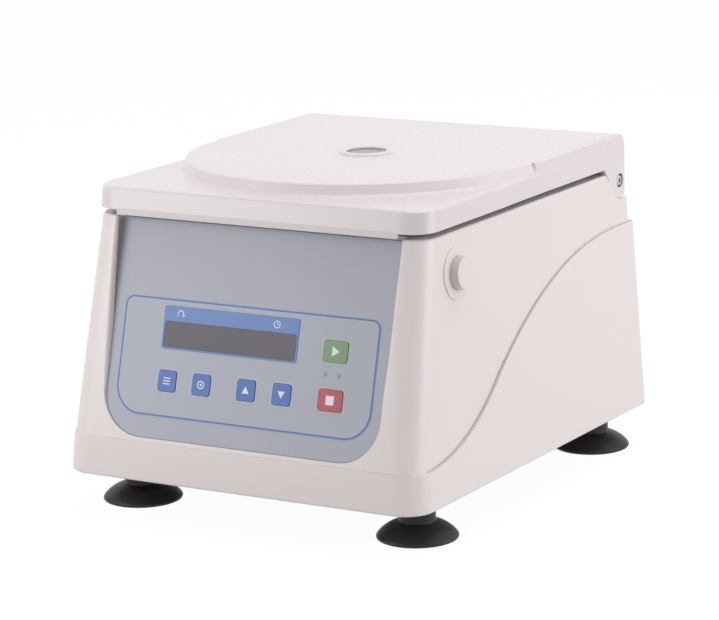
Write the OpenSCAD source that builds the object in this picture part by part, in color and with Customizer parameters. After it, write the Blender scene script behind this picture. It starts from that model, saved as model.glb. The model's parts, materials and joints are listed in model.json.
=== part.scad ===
// Benchtop microplate centrifuge: two moulded housings, a hinged lid with a round
// viewing port, a swing-out rotor for two plates, and the drive below it.
// Origin: on the bench, under the middle of the base. +X right, front faces -Y.

/* [Housing] */
// Width of the case at its underside
base_w = 340; // [330:1:370]
// Depth of the case at its underside
base_d = 410; // [405:1:440]
// Height of the feet under the case
foot_h = 35; // [32:1:45]
// Height of the case from its underside to the deck
case_h = 211; // [208:1:230]
// How far each side leans in between underside and deck
side_lean = 11.3; // [9:0.1:13]
// How far the rear leans in between underside and deck
rear_lean = 6; // [3:0.5:8]
// How far the front of the lower housing leans back
low_front_lean = 2; // [1:0.5:4]
// How far the front of the upper housing leans back
front_lean = 39.5; // [37:0.5:42]
// Radius of the upright front corners
front_r = 25; // [22:1:30]
// Radius of the upright rear corners
rear_r = 4; // [3.5:0.5:6]
// Wall of the upper housing and the lid
wall = 3; // [2.5:0.1:3.5]
// Wall of the lower housing
low_wall = 2.7; // [2.3:0.1:3]
// Gap between nested housings
shell_gap = 0.3; // [0.2:0.05:0.6]
// How far the upper housing reaches down inside the lower one
lip_h = 10; // [6:1:14]
// Floor thickness of the lower housing
floor_t = 3; // [2.5:0.1:4]

/* [Seam] */
// Height of the seam at the front, above the underside of the case
seam_low = 33; // [30:1:36]
// Height where the two sweeps of the seam meet
seam_mid = 85; // [79:1:91]
// Height of the seam at the rear
seam_high = 165; // [160:1:170]
// Distance from the front of the case to where the seam starts to rise
seam_start_in = 15; // [10:1:20]
// Distance from the front of the case to where the two sweeps meet
seam_mid_in = 148; // [138:1:158]
// Distance from the rear of the case to where the seam runs level again
seam_end_in = 30; // [25:1:40]

/* [Front panel] */
// Width of the recessed front panel
panel_w = 260; // [256:1:264]
// Lean of the front panel from upright
panel_tilt = 15.4; // [15:0.1:16]
// Distance from the front of the case to the panel at its origin
panel_in = 26.4; // [26:0.1:27]
// Height of the panel's origin above the underside of the case
panel_z = 115; // [114:1:117]
// How far the panel reaches below its origin
panel_down = 81.5; // [80:0.5:82.5]
// Depth of the notch over the panel, under the lid's grip lip
notch_h = 2.4; // [2:0.1:4]
// Corner radius at the foot of the panel
panel_r = 36; // [30:1:40]
// Thickness of the panel
panel_t = 3; // [2.5:0.1:4]
// Clearance round the panel and the overlay
panel_gap = 0.3; // [0.2:0.05:0.5]
// Width of the keypad overlay
overlay_w = 241.4; // [236:1:244]
// How far the overlay reaches below the panel's origin
overlay_down = 63.3; // [62:0.5:66]
// How far the overlay reaches above the panel's origin
overlay_up = 33.6; // [32:0.5:38]
// Thickness of the overlay
overlay_t = 0.8; // [0.6:0.1:1.2]
// Side of a square key
key_s = 17.5; // [16:0.5:18.5]
// Width of the two wide keys
wide_key_w = 22.7; // [21:0.5:24]
// Height of the row of keys from the panel's origin
key_y = -33.6; // [-36:0.5:-32]
// Height of the start key from the panel's origin
start_y = 5.2; // [4:0.5:8]
// Place of the wide keys from the middle
wide_key_x = 82; // [80:1:86]
// How far a key stands proud of the overlay
key_proud = 0.9; // [0.6:0.1:1.2]
// Travel of a key
key_travel = 0.6; // [0.4:0.1:0.8]
// Width of the display window frame
bezel_w = 128.2; // [124:1:130]
// Height of the display window frame
bezel_h = 34.9; // [33:0.5:36]
// Middle of the display from the middle of the panel
bezel_x = -17.2; // [-19:0.5:-15]
// Foot of the display frame from the panel's origin
bezel_y = -7.4; // [-9:0.5:-6.5]
// Height of the dark window in the display frame
window_h = 23.6; // [22:0.5:25]
// Radius of a status lamp
lamp_r = 1.6; // [1.2:0.1:2]
// Distance between the two status lamps
lamp_pitch = 12.6; // [11:0.5:14]

/* [Lid] */
// Distance from the front of the case to the front of the lid
lid_front_in = 42; // [41.5:0.1:42.5]
// Distance from the rear of the case to the rear of the lid
lid_rear_in = 12; // [11:0.5:13]
// Gap between the deck and the lid's edge
lid_gap = 4.5; // [4:0.1:5.5]
// Height of the lid's edge
lid_edge_h = 18.4; // [17:0.1:20]
// Height of the round top above the lower top
dome_h = 9.5; // [8:0.1:11]
// Depth of the grip lip below the lid's front edge
grip_h = 4; // [3:0.1:4.3]
// Width of the grip lip
grip_w = 264; // [240:1:266]
// Distance from the rotor axis to the front of the lid's raised rear block
block_step = 8; // [6:1:12]
// Draft of the round top's wall
dome_draft = 3; // [2:0.5:5]
// Chamfer along the lid's top edges
lid_edge_r = 3; // [2:0.5:3.5]
// Radius of the viewing port
port_r = 16.9; // [15:0.1:18.5]
// Width of the ring round the port
port_ring = 6.6; // [5:0.1:8]
// How far the ring stands above the lid
port_proud = 2; // [1.5:0.1:3]

/* [Hinge] */
// Distance from the rear of the case to the hinge axis
hinge_in = 21; // [20:0.5:22]
// Height of the hinge axis below the deck
hinge_drop = 8.8; // [8:0.1:9.5]
// Radius of the rounded lid cheeks
cheek_r = 15.5; // [15:0.1:16]
// Thickness of the lid cheeks
cheek_t = 12.7; // [11:0.1:14]
// Clearance round the cheeks in the case
cheek_gap = 0.7; // [0.5:0.1:1.5]
// Width of a hinge bracket
bracket_w = 13; // [11:1:14]
// Radius of the hinge screw's shank
hinge_pin_r = 3; // [2.5:0.1:4]
// Running clearance of pins and shafts
run_gap = 0.05; // [0.02:0.01:0.09]
// Radius of the recess round the hinge screw
hinge_head_recess = 7.2; // [6.8:0.1:8]
// Radius of the hinge screw's head
hinge_head_r = 6.3; // [5.5:0.1:6.5]

/* [Chamber] */
// Inner radius of the chamber bowl
bowl_r = 138; // [137:0.5:139]
// Height of the chamber floor above the underside of the case
chamber_base_h = 95; // [93:1:98]
// Wall of the chamber bowl
bowl_t = 1.5; // [1:0.1:2]
// Width of the bowl's rim flange
bowl_flange = 5.5; // [4:0.5:6]
// Distance from the middle of the case to the rotor axis
rotor_y = 17; // [16:0.5:18]
// Radius of the opening in the deck
deck_r = 136; // [134:0.5:137]

/* [Rotor] */
// Distance from the rotor axis to a carrier's pivot
arm_r = 63; // [62.5:0.5:65]
// Height of the carrier pivots above the chamber floor
pivot_up = 58; // [57:0.5:60]
// Length of the plate pocket
pocket_l = 128.5; // [128:0.1:129.5]
// Width of the plate pocket
pocket_w = 86.5; // [86:0.1:87.5]
// Wall of a plate carrier
carrier_t = 2; // [1.5:0.1:2.4]
// Height of the carrier's low walls
carrier_h = 16; // [14:1:20]
// How far the carrier's floor hangs below its pivot
carrier_drop = 26; // [24:1:28]
// Radius of the carrier pivots
carrier_pin_r = 3; // [2.5:0.1:3.5]
// Thickness of the rotor's side rails
rail_t = 6.8; // [5:0.1:8]
// Gap between a carrier and a side rail
rail_gap = 2; // [1.5:0.1:3]
// Radius of the rotor's hub
hub_r = 15; // [13:0.5:17]
// Radius of the drive shaft in the hub
shaft_r = 5; // [4:0.5:6]

/* [Drive] */
// Radius of the motor's case
motor_r = 42; // [38:1:46]
// Height of the motor's case
motor_h = 54; // [50:1:58]
// Height of the rubber mounts
mount_h = 14; // [12:1:16]
// Radius of a rubber mount
mount_r = 10; // [8:0.5:11]
// Radius of the circle of rubber mounts
mount_pcd_r = 57; // [55:1:60]
// Thickness of the steel plates
plate_t = 2; // [1.5:0.1:3]

/* [Feet] */
// Distance of the feet from the sides of the case
foot_side_in = 37.7; // [36:0.1:42]
// Distance of the front feet from the front of the case
foot_front_in = 63.5; // [59:0.5:67]
// Distance of the rear feet from the rear of the case
foot_rear_in = 34.5; // [34:0.5:40]
// Radius of a suction foot's rim
foot_rim_r = 33.4; // [30:0.1:34]
// Radius of a foot's neck
foot_neck_r = 15; // [13:0.5:18]

/* [Lid button] */
// Distance from the front of the case to the lid button
button_back = 90; // [87:1:93]
// Height of the lid button below the deck
button_drop = 33; // [31:0.5:35]
// Radius of the lid button
button_r = 13.4; // [12:0.1:14]
// Radius of the ring round the button
button_ring_r = 21.7; // [20:0.1:24]
// How far the button stands out of its ring
button_proud = 6; // [5.5:0.1:7]
// Travel of the button
button_travel = 5; // [4:0.1:5.3]

/* [Rear] */
// Distance of the mains socket from the right side of the case
inlet_in = 65; // [60:1:70]
// Height of the mains socket above the underside of the case
inlet_z = 42; // [40:1:46]
// Distance between the mains socket and the mains switch
switch_pitch = 50; // [46:1:54]

/* [Hidden] */

$fn = 64;
eps = 0.01;
big = 600;
corner_n = 8;
case_z = foot_h;
deck_z = foot_h + case_h;
seam_low_z = case_z + seam_low;
seam_mid_z = case_z + seam_mid;
seam_high_z = case_z + seam_high;
skirt_step = low_wall + shell_gap;
seam_start_y = -base_d / 2 + seam_start_in;
seam_mid_y = -base_d / 2 + seam_mid_in;
seam_end_y = base_d / 2 - seam_end_in;
panel_y = base_d / 2 - panel_in;
panel_up = (case_h - notch_h - panel_z) / cos(panel_tilt) + wall;
notch_y = -panel_y + (case_h - panel_z) * tan(panel_tilt) + wall;
lip_front_y = -base_d / 2 + front_r + 5;

lid_hw = base_w / 2 - skirt_step - side_lean;
lid_front = base_d / 2 - lid_front_in;
lid_rear = base_d / 2 - lid_rear_in;
block_y = rotor_y + block_step;
hinge_y = base_d / 2 - hinge_in;
lid_z = deck_z + lid_gap;
lid_low_z = lid_z + lid_edge_h;
lid_top_z = lid_low_z + dome_h;
dome_r = lid_hw + 0.3;
liner_t = 2.5;
liner_rear = hinge_y - 16;
gasket_w = 5;
gasket_in_r = bowl_r + 1;

hinge_z = deck_z - hinge_drop;
trough_r = cheek_r + cheek_gap;
cheek_in = lid_hw - cheek_t;
bracket_x = cheek_in - 2 - bracket_w;
bracket_r = 12;

bowl_floor_z = case_z + chamber_base_h;
pivot_z = bowl_floor_z + pivot_up;
carrier_hw = pocket_w / 2 + carrier_t;
carrier_hl = pocket_l / 2 + carrier_t;
rail_in = carrier_hl + rail_gap;
rail_out = rail_in + rail_t;
rail_half = arm_r + 8;
shaft_shoulder_z = bowl_floor_z + 35;
hub_top_z = bowl_floor_z + 70;

plate_z = case_z + floor_t;
plate_top = plate_z + plate_t;
motor_plate_t = 4;
motor_plate_z = plate_top + mount_h;
motor_z = motor_plate_z + motor_plate_t;
motor_top = motor_z + motor_h;
motor_wall = 3;
bearing_h = 6;
bearing_r = 13;
magnet_r = 24;
stator_in = magnet_r + 1;
stator_out = motor_r - motor_wall - 0.3;

latch_y = rotor_y - bowl_r - bowl_t - bowl_flange - 11;
latch_z = deck_z - wall - 17;
solenoid_w = 14;
solenoid_l = 34;
solenoid_x = -14;
lock_travel = 8;
bolt_r = 2.8;
striker_t = 2.5;
striker_hole = bolt_r + 1.7;

button_y = base_d / 2 - button_back;
button_z = case_h - button_drop;
foot_x = base_w / 2 - foot_side_in;
foot_front = base_d / 2 - foot_front_in;
foot_rear = base_d / 2 - foot_rear_in;
inlet_x = base_w / 2 - inlet_in;
button_wall_x = base_w / 2 - skirt_step - side_lean * button_z / case_h;
side_angle = atan(side_lean / case_h);
rear_angle = atan(rear_lean / case_h);
bezel_t = 1.5;
stem_r = 4;
button_in = 6;
stem_end = 21.7;
switch_z = stem_end + button_travel + 1.8;
switch_h = 9.5;
bracket_t = 1.5;
bracket_y = button_r + 8.6;

foot_dome_z = 14.3;
foot_rim_z = 2.3;
foot_land = 2;
foot_cup_h = 3;
board_t = 1.6;
control_w = 120;
control_l = 60;
control_gap = 12;
rear_open_w = 108;
rear_open_h = 36;
psu_in = 90;
psu_back = 125;
psu_w = 60;
psu_l = 75;
psu_h = 32;
board_x = 30 - base_w / 2;
board_y = 95 - base_d / 2;
board_w = 70;
board_l = 110;
board_h = 8;
board_edge = 4;
rocker_z = -6;
rocker_r = 8.9;
rocker_tilt = 8;
key_xs = [-72.1, -39.1, 3.5, 37];
lamp_y = start_y - 18.7;

// Half the width of each housing and the place of its rear and front, at height z
function up_hw(z) = base_w / 2 - skirt_step - side_lean * (z - case_z) / case_h;
function low_hw(z) = base_w / 2 - side_lean * (z - case_z) / case_h;
function low_rear(z) = base_d / 2 - rear_lean * (z - case_z) / case_h;
function up_rear(z) = low_rear(z) - skirt_step;
function low_front(z) = -base_d / 2 + low_front_lean * (z - case_z) / seam_low;
function up_front(z) = -base_d / 2 + low_front_lean + 0.5
    + front_lean * (z - seam_low_z) / (deck_z - seam_low_z);

// Height of the seam between the housings at depth y
function seam_z(y) =
    y < seam_start_y ? seam_low_z :
    y < seam_mid_y ? seam_low_z + (seam_mid_z - seam_low_z)
        * pow((y - seam_start_y) / (seam_mid_y - seam_start_y), 2.2) :
    y < seam_end_y ? seam_mid_z + (seam_high_z - seam_mid_z)
        * (1 - pow(1 - (y - seam_mid_y) / (seam_end_y - seam_mid_y), 2.2)) :
    seam_high_z;

function arc(cx, cy, r, a0, a1, n) =
    [for (i = [0 : n]) let (a = a0 + (a1 - a0) * i / n) [cx + r * cos(a), cy + r * sin(a)]];

// Plan outline with its own radius at the front and at the rear
function plan(hw, y0, y1, rf, rr) = concat(
    arc(hw - rf, y0 + rf, rf, -90, 0, corner_n),
    arc(hw - rr, y1 - rr, rr, 0, 90, corner_n),
    arc(-hw + rr, y1 - rr, rr, 90, 180, corner_n),
    arc(-hw + rf, y0 + rf, rf, 180, 270, corner_n));

module slab(hw, y0, y1, rf, rr, z, t = eps)
    translate([0, 0, z]) linear_extrude(t) polygon(plan(hw, y0, y1, rf, rr));

// Local x runs along +Y and local y up; the prism is centred across the case
module side_prism(w)
    rotate([90, 0, 90]) translate([0, 0, -w / 2]) linear_extrude(w) children();

module on_panel()
    translate([0, -panel_y, case_z + panel_z]) rotate([90 - panel_tilt, 0, 0]) children();

module on_button()
    translate([button_wall_x, -button_y, case_z + button_z])
        rotate([0, 90 - side_angle, 0]) children();

module on_rear(x)
    translate([x, low_rear(case_z + inlet_z), case_z + inlet_z])
        rotate([-90 + rear_angle, 0, 0]) rotate([0, 0, 180]) children();

module at_rotor(z) translate([0, rotor_y, z]) children();

module ring(r_out, r_in, h)
    difference() {
        cylinder(r = r_out, h = h);
        translate([0, 0, -1]) cylinder(r = r_in, h = h + 2);
    }

module box_c(x, y, z0, z1)
    translate([-x / 2, -y / 2, z0]) cube([x, y, z1 - z0]);

module upper_solid(inset, top)
    hull() {
        slab(up_hw(seam_low_z - lip_h) - inset, up_front(seam_low_z - lip_h) + inset,
            up_rear(seam_low_z - lip_h) - inset, front_r - inset, rear_r - inset,
            seam_low_z - lip_h - inset);
        slab(up_hw(top) - inset, up_front(top) + inset, up_rear(top) - inset,
            front_r - inset, rear_r - inset, top - eps);
    }

module lower_solid(inset, z0)
    hull() {
        slab(low_hw(z0) - inset, low_front(z0) + inset, low_rear(z0) - inset,
            front_r - inset, rear_r - inset, z0);
        slab(low_hw(seam_low_z) - inset, low_front(seam_low_z) + inset,
            low_rear(seam_low_z) - inset, front_r - inset, rear_r - inset, seam_low_z);
        slab(low_hw(seam_high_z + inset) - inset, up_front(seam_high_z) + inset,
            low_rear(seam_high_z + inset) - inset, front_r - inset, rear_r - inset,
            seam_high_z + inset);
    }

// Everything above the seam, and everything below the upper housing's edge
module above_seam()
    side_prism(base_w + 40) polygon(concat(
        [[-base_d, big], [-base_d, seam_low_z]],
        [for (y = [seam_start_y : 5 : seam_end_y + 4]) [y, seam_z(y)]],
        [[base_d, seam_high_z], [base_d, big]]));

module below_lip()
    side_prism(base_w + 40) polygon(concat(
        [[-base_d, -big], [-base_d, seam_low_z + shell_gap],
            [lip_front_y, seam_low_z + shell_gap]],
        [for (y = [lip_front_y + eps : 5 : seam_end_y + 4]) [y, seam_z(y) - lip_h]],
        [[base_d, seam_high_z - lip_h], [base_d, -big]]));

// Trough for the lid's rear edge, and its longer cut for the lid's cheeks
module trough_2d(g = 0) {
    translate([hinge_y, hinge_z]) circle(r = trough_r + g);
    polygon([[hinge_y - trough_r - g, hinge_z], [hinge_y - trough_r - g, big],
        [big, big], [big, hinge_z - trough_r - g], [hinge_y, hinge_z - trough_r - g]]);
}

cheek_a = 205;
cheek_slope_top = 32;
module cheek_cut_2d(g = 0) {
    trough_2d(g);
    polygon([[hinge_y, hinge_z], [hinge_y + (trough_r + g) * cos(cheek_a),
        hinge_z + (trough_r + g) * sin(cheek_a)],
        [hinge_y - cheek_slope_top - g, lid_z], [hinge_y - cheek_slope_top - g, big],
        [hinge_y, big]]);
}

module cheek_zone(margin = 0)
    for (s = [-1, 1])
        translate([s * (cheek_in - 1 - margin + base_w / 2), 0, 0])
            side_prism(base_w) children();

function panel_outline(g) = concat(
    [[panel_w / 2 + g, panel_up + g]],
    [[-panel_w / 2 - g, panel_up + g]],
    arc(-panel_w / 2 + panel_r, -panel_down + panel_r, panel_r + g, 180, 270, corner_n),
    arc(panel_w / 2 - panel_r, -panel_down + panel_r, panel_r + g, 270, 360, corner_n));

module panel_prism(g, z0, z1)
    on_panel() translate([0, 0, z0]) linear_extrude(z1 - z0) polygon(panel_outline(g));

module upper_housing() color([0.88, 0.86, 0.86]) difference() {
    union() {
        difference() {
            upper_solid(0, deck_z);
            upper_solid(wall, deck_z - wall);
        }
        intersection() {
            upper_solid(0, deck_z);
            union() {
                side_prism(base_w) trough_2d(wall);
                cheek_zone(wall) cheek_cut_2d(wall);
                panel_prism(wall, -panel_t - wall, 30);
            }
        }
    }
    below_lip();
    side_prism(base_w + 40) trough_2d();
    cheek_zone() cheek_cut_2d();
    panel_prism(0, -panel_t, 60);
    panel_prism(-2 * wall, -big / 10, 60);
    translate([-panel_w / 2, -base_d, deck_z - notch_h]) cube([panel_w, base_d + notch_y, big]);
    at_rotor(deck_z - 20) cylinder(r = deck_r, h = 40, $fn = 96);
    translate([-striker_t / 2 - 2, latch_y - 8, deck_z - wall - 1])
        cube([striker_t + 4, 16, wall + 2]);
    on_button() translate([0, 0, -wall - 4]) cylinder(r = button_r + 2.6, h = wall + 8);
}

module lower_housing() color([0.88, 0.86, 0.86]) difference() {
    lower_solid(0, case_z);
    lower_solid(low_wall, case_z + floor_t);
    above_seam();
    foot_places() cylinder(r = 3.2, h = 60, center = true);
    for (x = [-2 : 2]) for (y = [-5 : 5])
        translate([x * 24, rotor_y + y * 10 - 2, case_z - 1]) cube([18, 4, floor_t + 2]);
    on_rear(inlet_x - switch_pitch / 2)
        translate([-rear_open_w / 2, -rear_open_h / 2, -low_wall - 1])
            cube([rear_open_w, rear_open_h, low_wall + 3]);
}

module foot_places() {
    translate([-foot_x, -foot_front, case_z]) children();
    translate([foot_x, -foot_front, case_z]) children();
    translate([-foot_x, foot_rear, case_z]) children();
    translate([foot_x, foot_rear, case_z]) children();
}

module base_plate() color([0.62, 0.63, 0.65]) difference() {
    union() {
        for (x = [0, 1]) for (y = [0, 1]) translate([board_x + board_edge
            + x * (board_w - 2 * board_edge), board_y + board_edge
            + y * (board_l - 2 * board_edge), plate_top - eps])
                cylinder(r = 3, h = board_h + eps);
    slab(low_hw(plate_z) - low_wall - 4, low_front(plate_z) + low_wall + 4,
        low_rear(plate_z) - low_wall - 4, front_r - 6, rear_r - 2, plate_z, plate_t);
    }
    foot_places() cylinder(r = 3.2, h = 60, center = true);
    for (x = [-2 : 2]) for (y = [-5 : 5])
        translate([x * 24, rotor_y + y * 10 - 2, plate_z - 1]) cube([18, 4, plate_t + 2]);
    for (x = mount_xy()) translate([x[0], x[1], plate_z - 1])
        cylinder(r = 2.2, h = plate_t + 2);
}

// Moulded suction foot: straight neck, domed skirt and a shallow hollow underneath
module foot(x, y)
    color([0.09, 0.09, 0.1]) translate([x, y, 0]) rotate_extrude($fn = 96) polygon(concat(
        [[3.1, case_z], [foot_neck_r, case_z], [foot_neck_r, foot_dome_z]],
        [for (a = [80 : -10 : 10]) [foot_neck_r + (foot_rim_r - foot_neck_r) * cos(a),
            foot_rim_z + (foot_dome_z - foot_rim_z) * sin(a)]],
        [[foot_rim_r, foot_rim_z], [foot_rim_r - foot_land / 2, foot_rim_z / 4],
            [foot_rim_r - foot_land, 0], [foot_rim_r - 2 * foot_land, 0],
            [foot_neck_r, foot_cup_h], [3.1, foot_cup_h]]));

module foot_front_left() foot(-foot_x, -foot_front);
module foot_front_right() foot(foot_x, -foot_front);
module foot_rear_left() foot(-foot_x, foot_rear);
module foot_rear_right() foot(foot_x, foot_rear);

module foot_bolts() color([0.7, 0.7, 0.72]) foot_places() {
    translate([0, 0, 8 - case_z]) cylinder(r = 3, h = case_z + floor_t + plate_t - 2);
    translate([0, 0, floor_t + plate_t]) cylinder(r = 5.5, h = 5, $fn = 6);
}

module front_panel() color([0.66, 0.67, 0.72]) difference() {
    on_panel() translate([0, 0, -panel_t]) linear_extrude(panel_t)
        polygon(panel_outline(-panel_gap));
    on_panel() {
        translate([bezel_x - bezel_w / 2 + 5, bezel_y + 4, -10])
            cube([bezel_w - 10, bezel_h - 8, 20]);
        for (k = [0 : 3]) translate([key_xs[k], key_y, 0]) box_c(key_s - 6, key_s - 6, -10, 10);
        for (y = [key_y, start_y]) translate([wide_key_x, y, 0])
            box_c(wide_key_w - 6, key_s - 6, -10, 10);
        lamps() cylinder(r = lamp_r + 0.1, h = 20, center = true);
    }
    translate([-panel_w / 2, -base_d, deck_z - notch_h - panel_gap])
        cube([panel_w, base_d, big]);
}

module lamps()
    for (s = [-1, 1]) translate([wide_key_x - 1 + s * lamp_pitch / 2, lamp_y, 0]) children();

module overlay_2d() {
    polygon(concat(
        arc(overlay_w / 2 - 8, overlay_up - 8, 8, 0, 90, 6),
        arc(-overlay_w / 2 + 8, overlay_up - 8, 8, 90, 180, 6),
        arc(-overlay_w / 2 + 24, -overlay_down + 24, 24, 180, 270, 8),
        arc(overlay_w / 2 - 24, -overlay_down + 24, 24, 270, 360, 8)));
}

module keypad_overlay() color([0.62, 0.66, 0.74]) on_panel() difference() {
    linear_extrude(overlay_t) overlay_2d();
    translate([bezel_x - bezel_w / 2 - panel_gap, bezel_y - panel_gap, -1])
        cube([bezel_w + 2 * panel_gap, bezel_h + 2 * panel_gap, 4]);
    for (k = [0 : 3]) translate([key_xs[k], key_y, 0])
        box_c(key_s + 2 * panel_gap, key_s + 2 * panel_gap, -1, 4);
    for (y = [key_y, start_y]) translate([wide_key_x, y, 0])
        box_c(wide_key_w + 2 * panel_gap, key_s + 2 * panel_gap, -1, 4);
    lamps() cylinder(r = lamp_r + 0.1, h = 20, center = true);
}

module display_frame() color([0.36, 0.5, 0.74]) on_panel()
    translate([bezel_x, bezel_y, 0]) difference() {
        translate([-bezel_w / 2, 0, 0]) cube([bezel_w, bezel_h, overlay_t + 0.4]);
        translate([-bezel_w / 2 + 1.5, 1.5, -1]) cube([bezel_w - 3, window_h - 3, 6]);
    }

module display_window() color([0.35, 0.33, 0.35]) on_panel()
    translate([bezel_x, bezel_y, 0])
        translate([-bezel_w / 2 + 1.6, 1.6, 0]) cube([bezel_w - 3.2, window_h - 3.2, 0.9]);

module display_module() color([0.2, 0.3, 0.25]) on_panel()
    translate([bezel_x - bezel_w / 2 + 6, bezel_y + 5, -panel_t - 6])
        cube([bezel_w - 12, bezel_h - 10, panel_t + 5.8]);

module keypad_board() color([0.16, 0.36, 0.24]) on_panel() difference() {
    translate([-overlay_w / 2 + 20, -overlay_down + 12, -panel_t - 6 - board_t])
        cube([overlay_w - 40, overlay_down + overlay_up - 18, board_t]);
    for (s = [-1, 1]) translate([s * (overlay_w / 2 - 24), -overlay_down + 16, -20])
        cylinder(r = 1.6, h = 20);
}

module status_lamps() color([0.75, 0.3, 0.28]) on_panel() lamps()
    translate([0, 0, -panel_t - 5.8]) cylinder(r = lamp_r, h = panel_t + 5.8 + overlay_t + 0.3);

// Key cap with a narrower plunger behind it, which reaches to its contact on the board
module key(x, y, w)
    on_panel() translate([x, y, 0]) {
        box_c(w, key_s, key_travel + 0.05, overlay_t + key_proud);
        box_c(w - 7, key_s - 7, -panel_t - 4.9, key_travel + 0.05);
    }

module key_1() color([0.36, 0.5, 0.74]) key(key_xs[0], key_y, key_s);
module key_2() color([0.36, 0.5, 0.74]) key(key_xs[1], key_y, key_s);
module key_up() color([0.36, 0.5, 0.74]) key(key_xs[2], key_y, key_s);
module key_down() color([0.36, 0.5, 0.74]) key(key_xs[3], key_y, key_s);
module key_start() color([0.42, 0.6, 0.42]) key(wide_key_x, start_y, wide_key_w);
module key_stop() color([0.68, 0.3, 0.34]) key(wide_key_x, key_y, wide_key_w);

module control_board() color([0.16, 0.36, 0.24]) on_panel()
    translate([-control_w / 2, 10 - control_l, -panel_t - 6 - board_t - control_gap]) {
        cube([control_w, control_l, board_t]);
        translate([10, 10, board_t]) cube([30, 22, 4]);
        for (x = [4, control_w - 4]) for (y = [4, control_l - 4]) translate([x, y, board_t])
            cylinder(r = 2.5, h = control_gap - board_t);
    }

// Lid: low tray, round top, raised rear block, cheeks at the hinge
module lid_outer(i)
    union() {
        hull() {
            slab(lid_hw - i, -lid_front + i, lid_rear - i, front_r - i, rear_r - i,
                lid_z - i, lid_edge_h - lid_edge_r);
            slab(lid_hw - i - lid_edge_r, -lid_front + i + lid_edge_r,
                lid_rear - i - lid_edge_r, front_r - i - lid_edge_r, rear_r - lid_edge_r
                - i + 3, lid_low_z - i - eps);
        }
        hull() {
            slab(lid_hw - i, block_y + i, lid_rear - i, rear_r - i, rear_r - i,
                lid_z - i, lid_top_z - lid_z - lid_edge_r);
            slab(lid_hw - i - lid_edge_r, block_y + i, lid_rear - i - lid_edge_r,
                rear_r - i, rear_r - i, lid_top_z - i - eps);
        }
        intersection() {
            at_rotor(lid_z - i) cylinder(r1 = dome_r + dome_draft - i,
                r2 = dome_r - dome_draft - i, h = lid_top_z - lid_z, $fn = 128);
            slab(lid_hw - i, -lid_front + i, lid_rear - i, front_r - i, rear_r - i,
                lid_z - i, lid_top_z);
        }
    }

boss_xy = [[-lid_hw + 15.7, -lid_front + 23], [lid_hw - 15.7, -lid_front + 23],
    [-lid_hw + 9.5, 100], [lid_hw - 9.5, 100], [-60, liner_rear - 8], [60, liner_rear - 8]];

module lid_shell() color([0.9, 0.88, 0.9]) difference() {
    union() {
        difference() {
            lid_outer(0);
            lid_outer(wall);
        }
        translate([-grip_w / 2, -lid_front, lid_z - grip_h])
            cube([grip_w, wall, grip_h + 2]);
        translate([-cheek_in, lid_rear - wall, hinge_z - cheek_r + 4.3])
            cube([2 * cheek_in, wall, lid_z - hinge_z + cheek_r]);
        for (s = [-1, 1]) translate([s * (lid_hw - cheek_t / 2), 0, 0])
            side_prism(cheek_t) cheek_2d();
        for (p = boss_xy) translate([p[0], p[1], lid_z + liner_t])
            cylinder(r = 4.5, h = lid_edge_h - liner_t - wall / 2
                + (p[1] > block_y ? dome_h : 0));
    }
    at_rotor(lid_z) cylinder(r = port_r + 2.6, h = 60);
    for (p = boss_xy) translate([p[0], p[1], lid_z]) cylinder(r = 1.55, h = 13);
    for (s = [-1, 1]) {
        translate([s * (bracket_x + bracket_w / 2), lid_rear, hinge_z])
            box_c(bracket_w + 4, 30, -30, bracket_r + 2);
        translate([s * (lid_hw - 3), hinge_y, hinge_z]) rotate([0, s * 90, 0])
            cylinder(r = hinge_head_recess, h = 20);
        translate([0, hinge_y, hinge_z]) rotate([0, s * 90, 0])
            cylinder(r = hinge_pin_r + run_gap, h = big);
    }
}

module cheek_2d() intersection() {
    union() {
        translate([hinge_y, hinge_z]) circle(r = cheek_r);
        polygon([[hinge_y, hinge_z], [hinge_y + cheek_r * cos(cheek_a),
            hinge_z + cheek_r * sin(cheek_a)],
            [hinge_y - cheek_slope_top + 2, lid_z], [hinge_y - cheek_slope_top + 2,
            lid_low_z - 1], [lid_rear, lid_low_z - 1], [lid_rear, hinge_z],
            [hinge_y + cheek_r * cos(-45), hinge_z + cheek_r * sin(-45)]]);
    }
    polygon([[-big, -big], [lid_rear - 0.5, -big], [lid_rear - 0.5, big], [-big, big]]);
}

module lid_liner() color([0.8, 0.8, 0.81]) difference() {
    slab(lid_hw - wall - shell_gap, -lid_front + wall + shell_gap, liner_rear,
        front_r - wall, 3, lid_z, liner_t);
    for (s = [-1, 1]) translate([s * (lid_hw - cheek_t / 2), liner_rear, 0])
        box_c(cheek_t + 1, 60, lid_z - 2, lid_z + 20);
    at_rotor(lid_z - 1) cylinder(r = port_r + 2.1, h = 10);
    for (p = boss_xy) translate([p[0], p[1], lid_z - 1]) cylinder(r = 1.9, h = 10);
}

module lid_gasket() color([0.15, 0.15, 0.16])
    at_rotor(deck_z + 0.3) ring(gasket_in_r + gasket_w, gasket_in_r, lid_gap - 0.3, $fn = 128);

module port_ring() color([0.86, 0.84, 0.86]) at_rotor(0) rotate_extrude($fn = 96)
    polygon([[port_r, lid_z], [port_r + 2, lid_z], [port_r + 2, lid_top_z],
        [port_r + port_ring, lid_top_z], [port_r + port_ring - 1.2, lid_top_z + port_proud
        - 0.6], [port_r + 1.2, lid_top_z + port_proud], [port_r, lid_top_z + port_proud - 0.6],
        [port_r, lid_top_z - 1], [port_r - 1.5, lid_top_z - 1], [port_r - 1.5, lid_top_z - 3],
        [port_r, lid_top_z - 3]]);

module port_lens() color([0.6, 0.62, 0.64, 0.5])
    at_rotor(lid_top_z - 1) cylinder(r = port_r - 0.1, h = 1.2);

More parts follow.
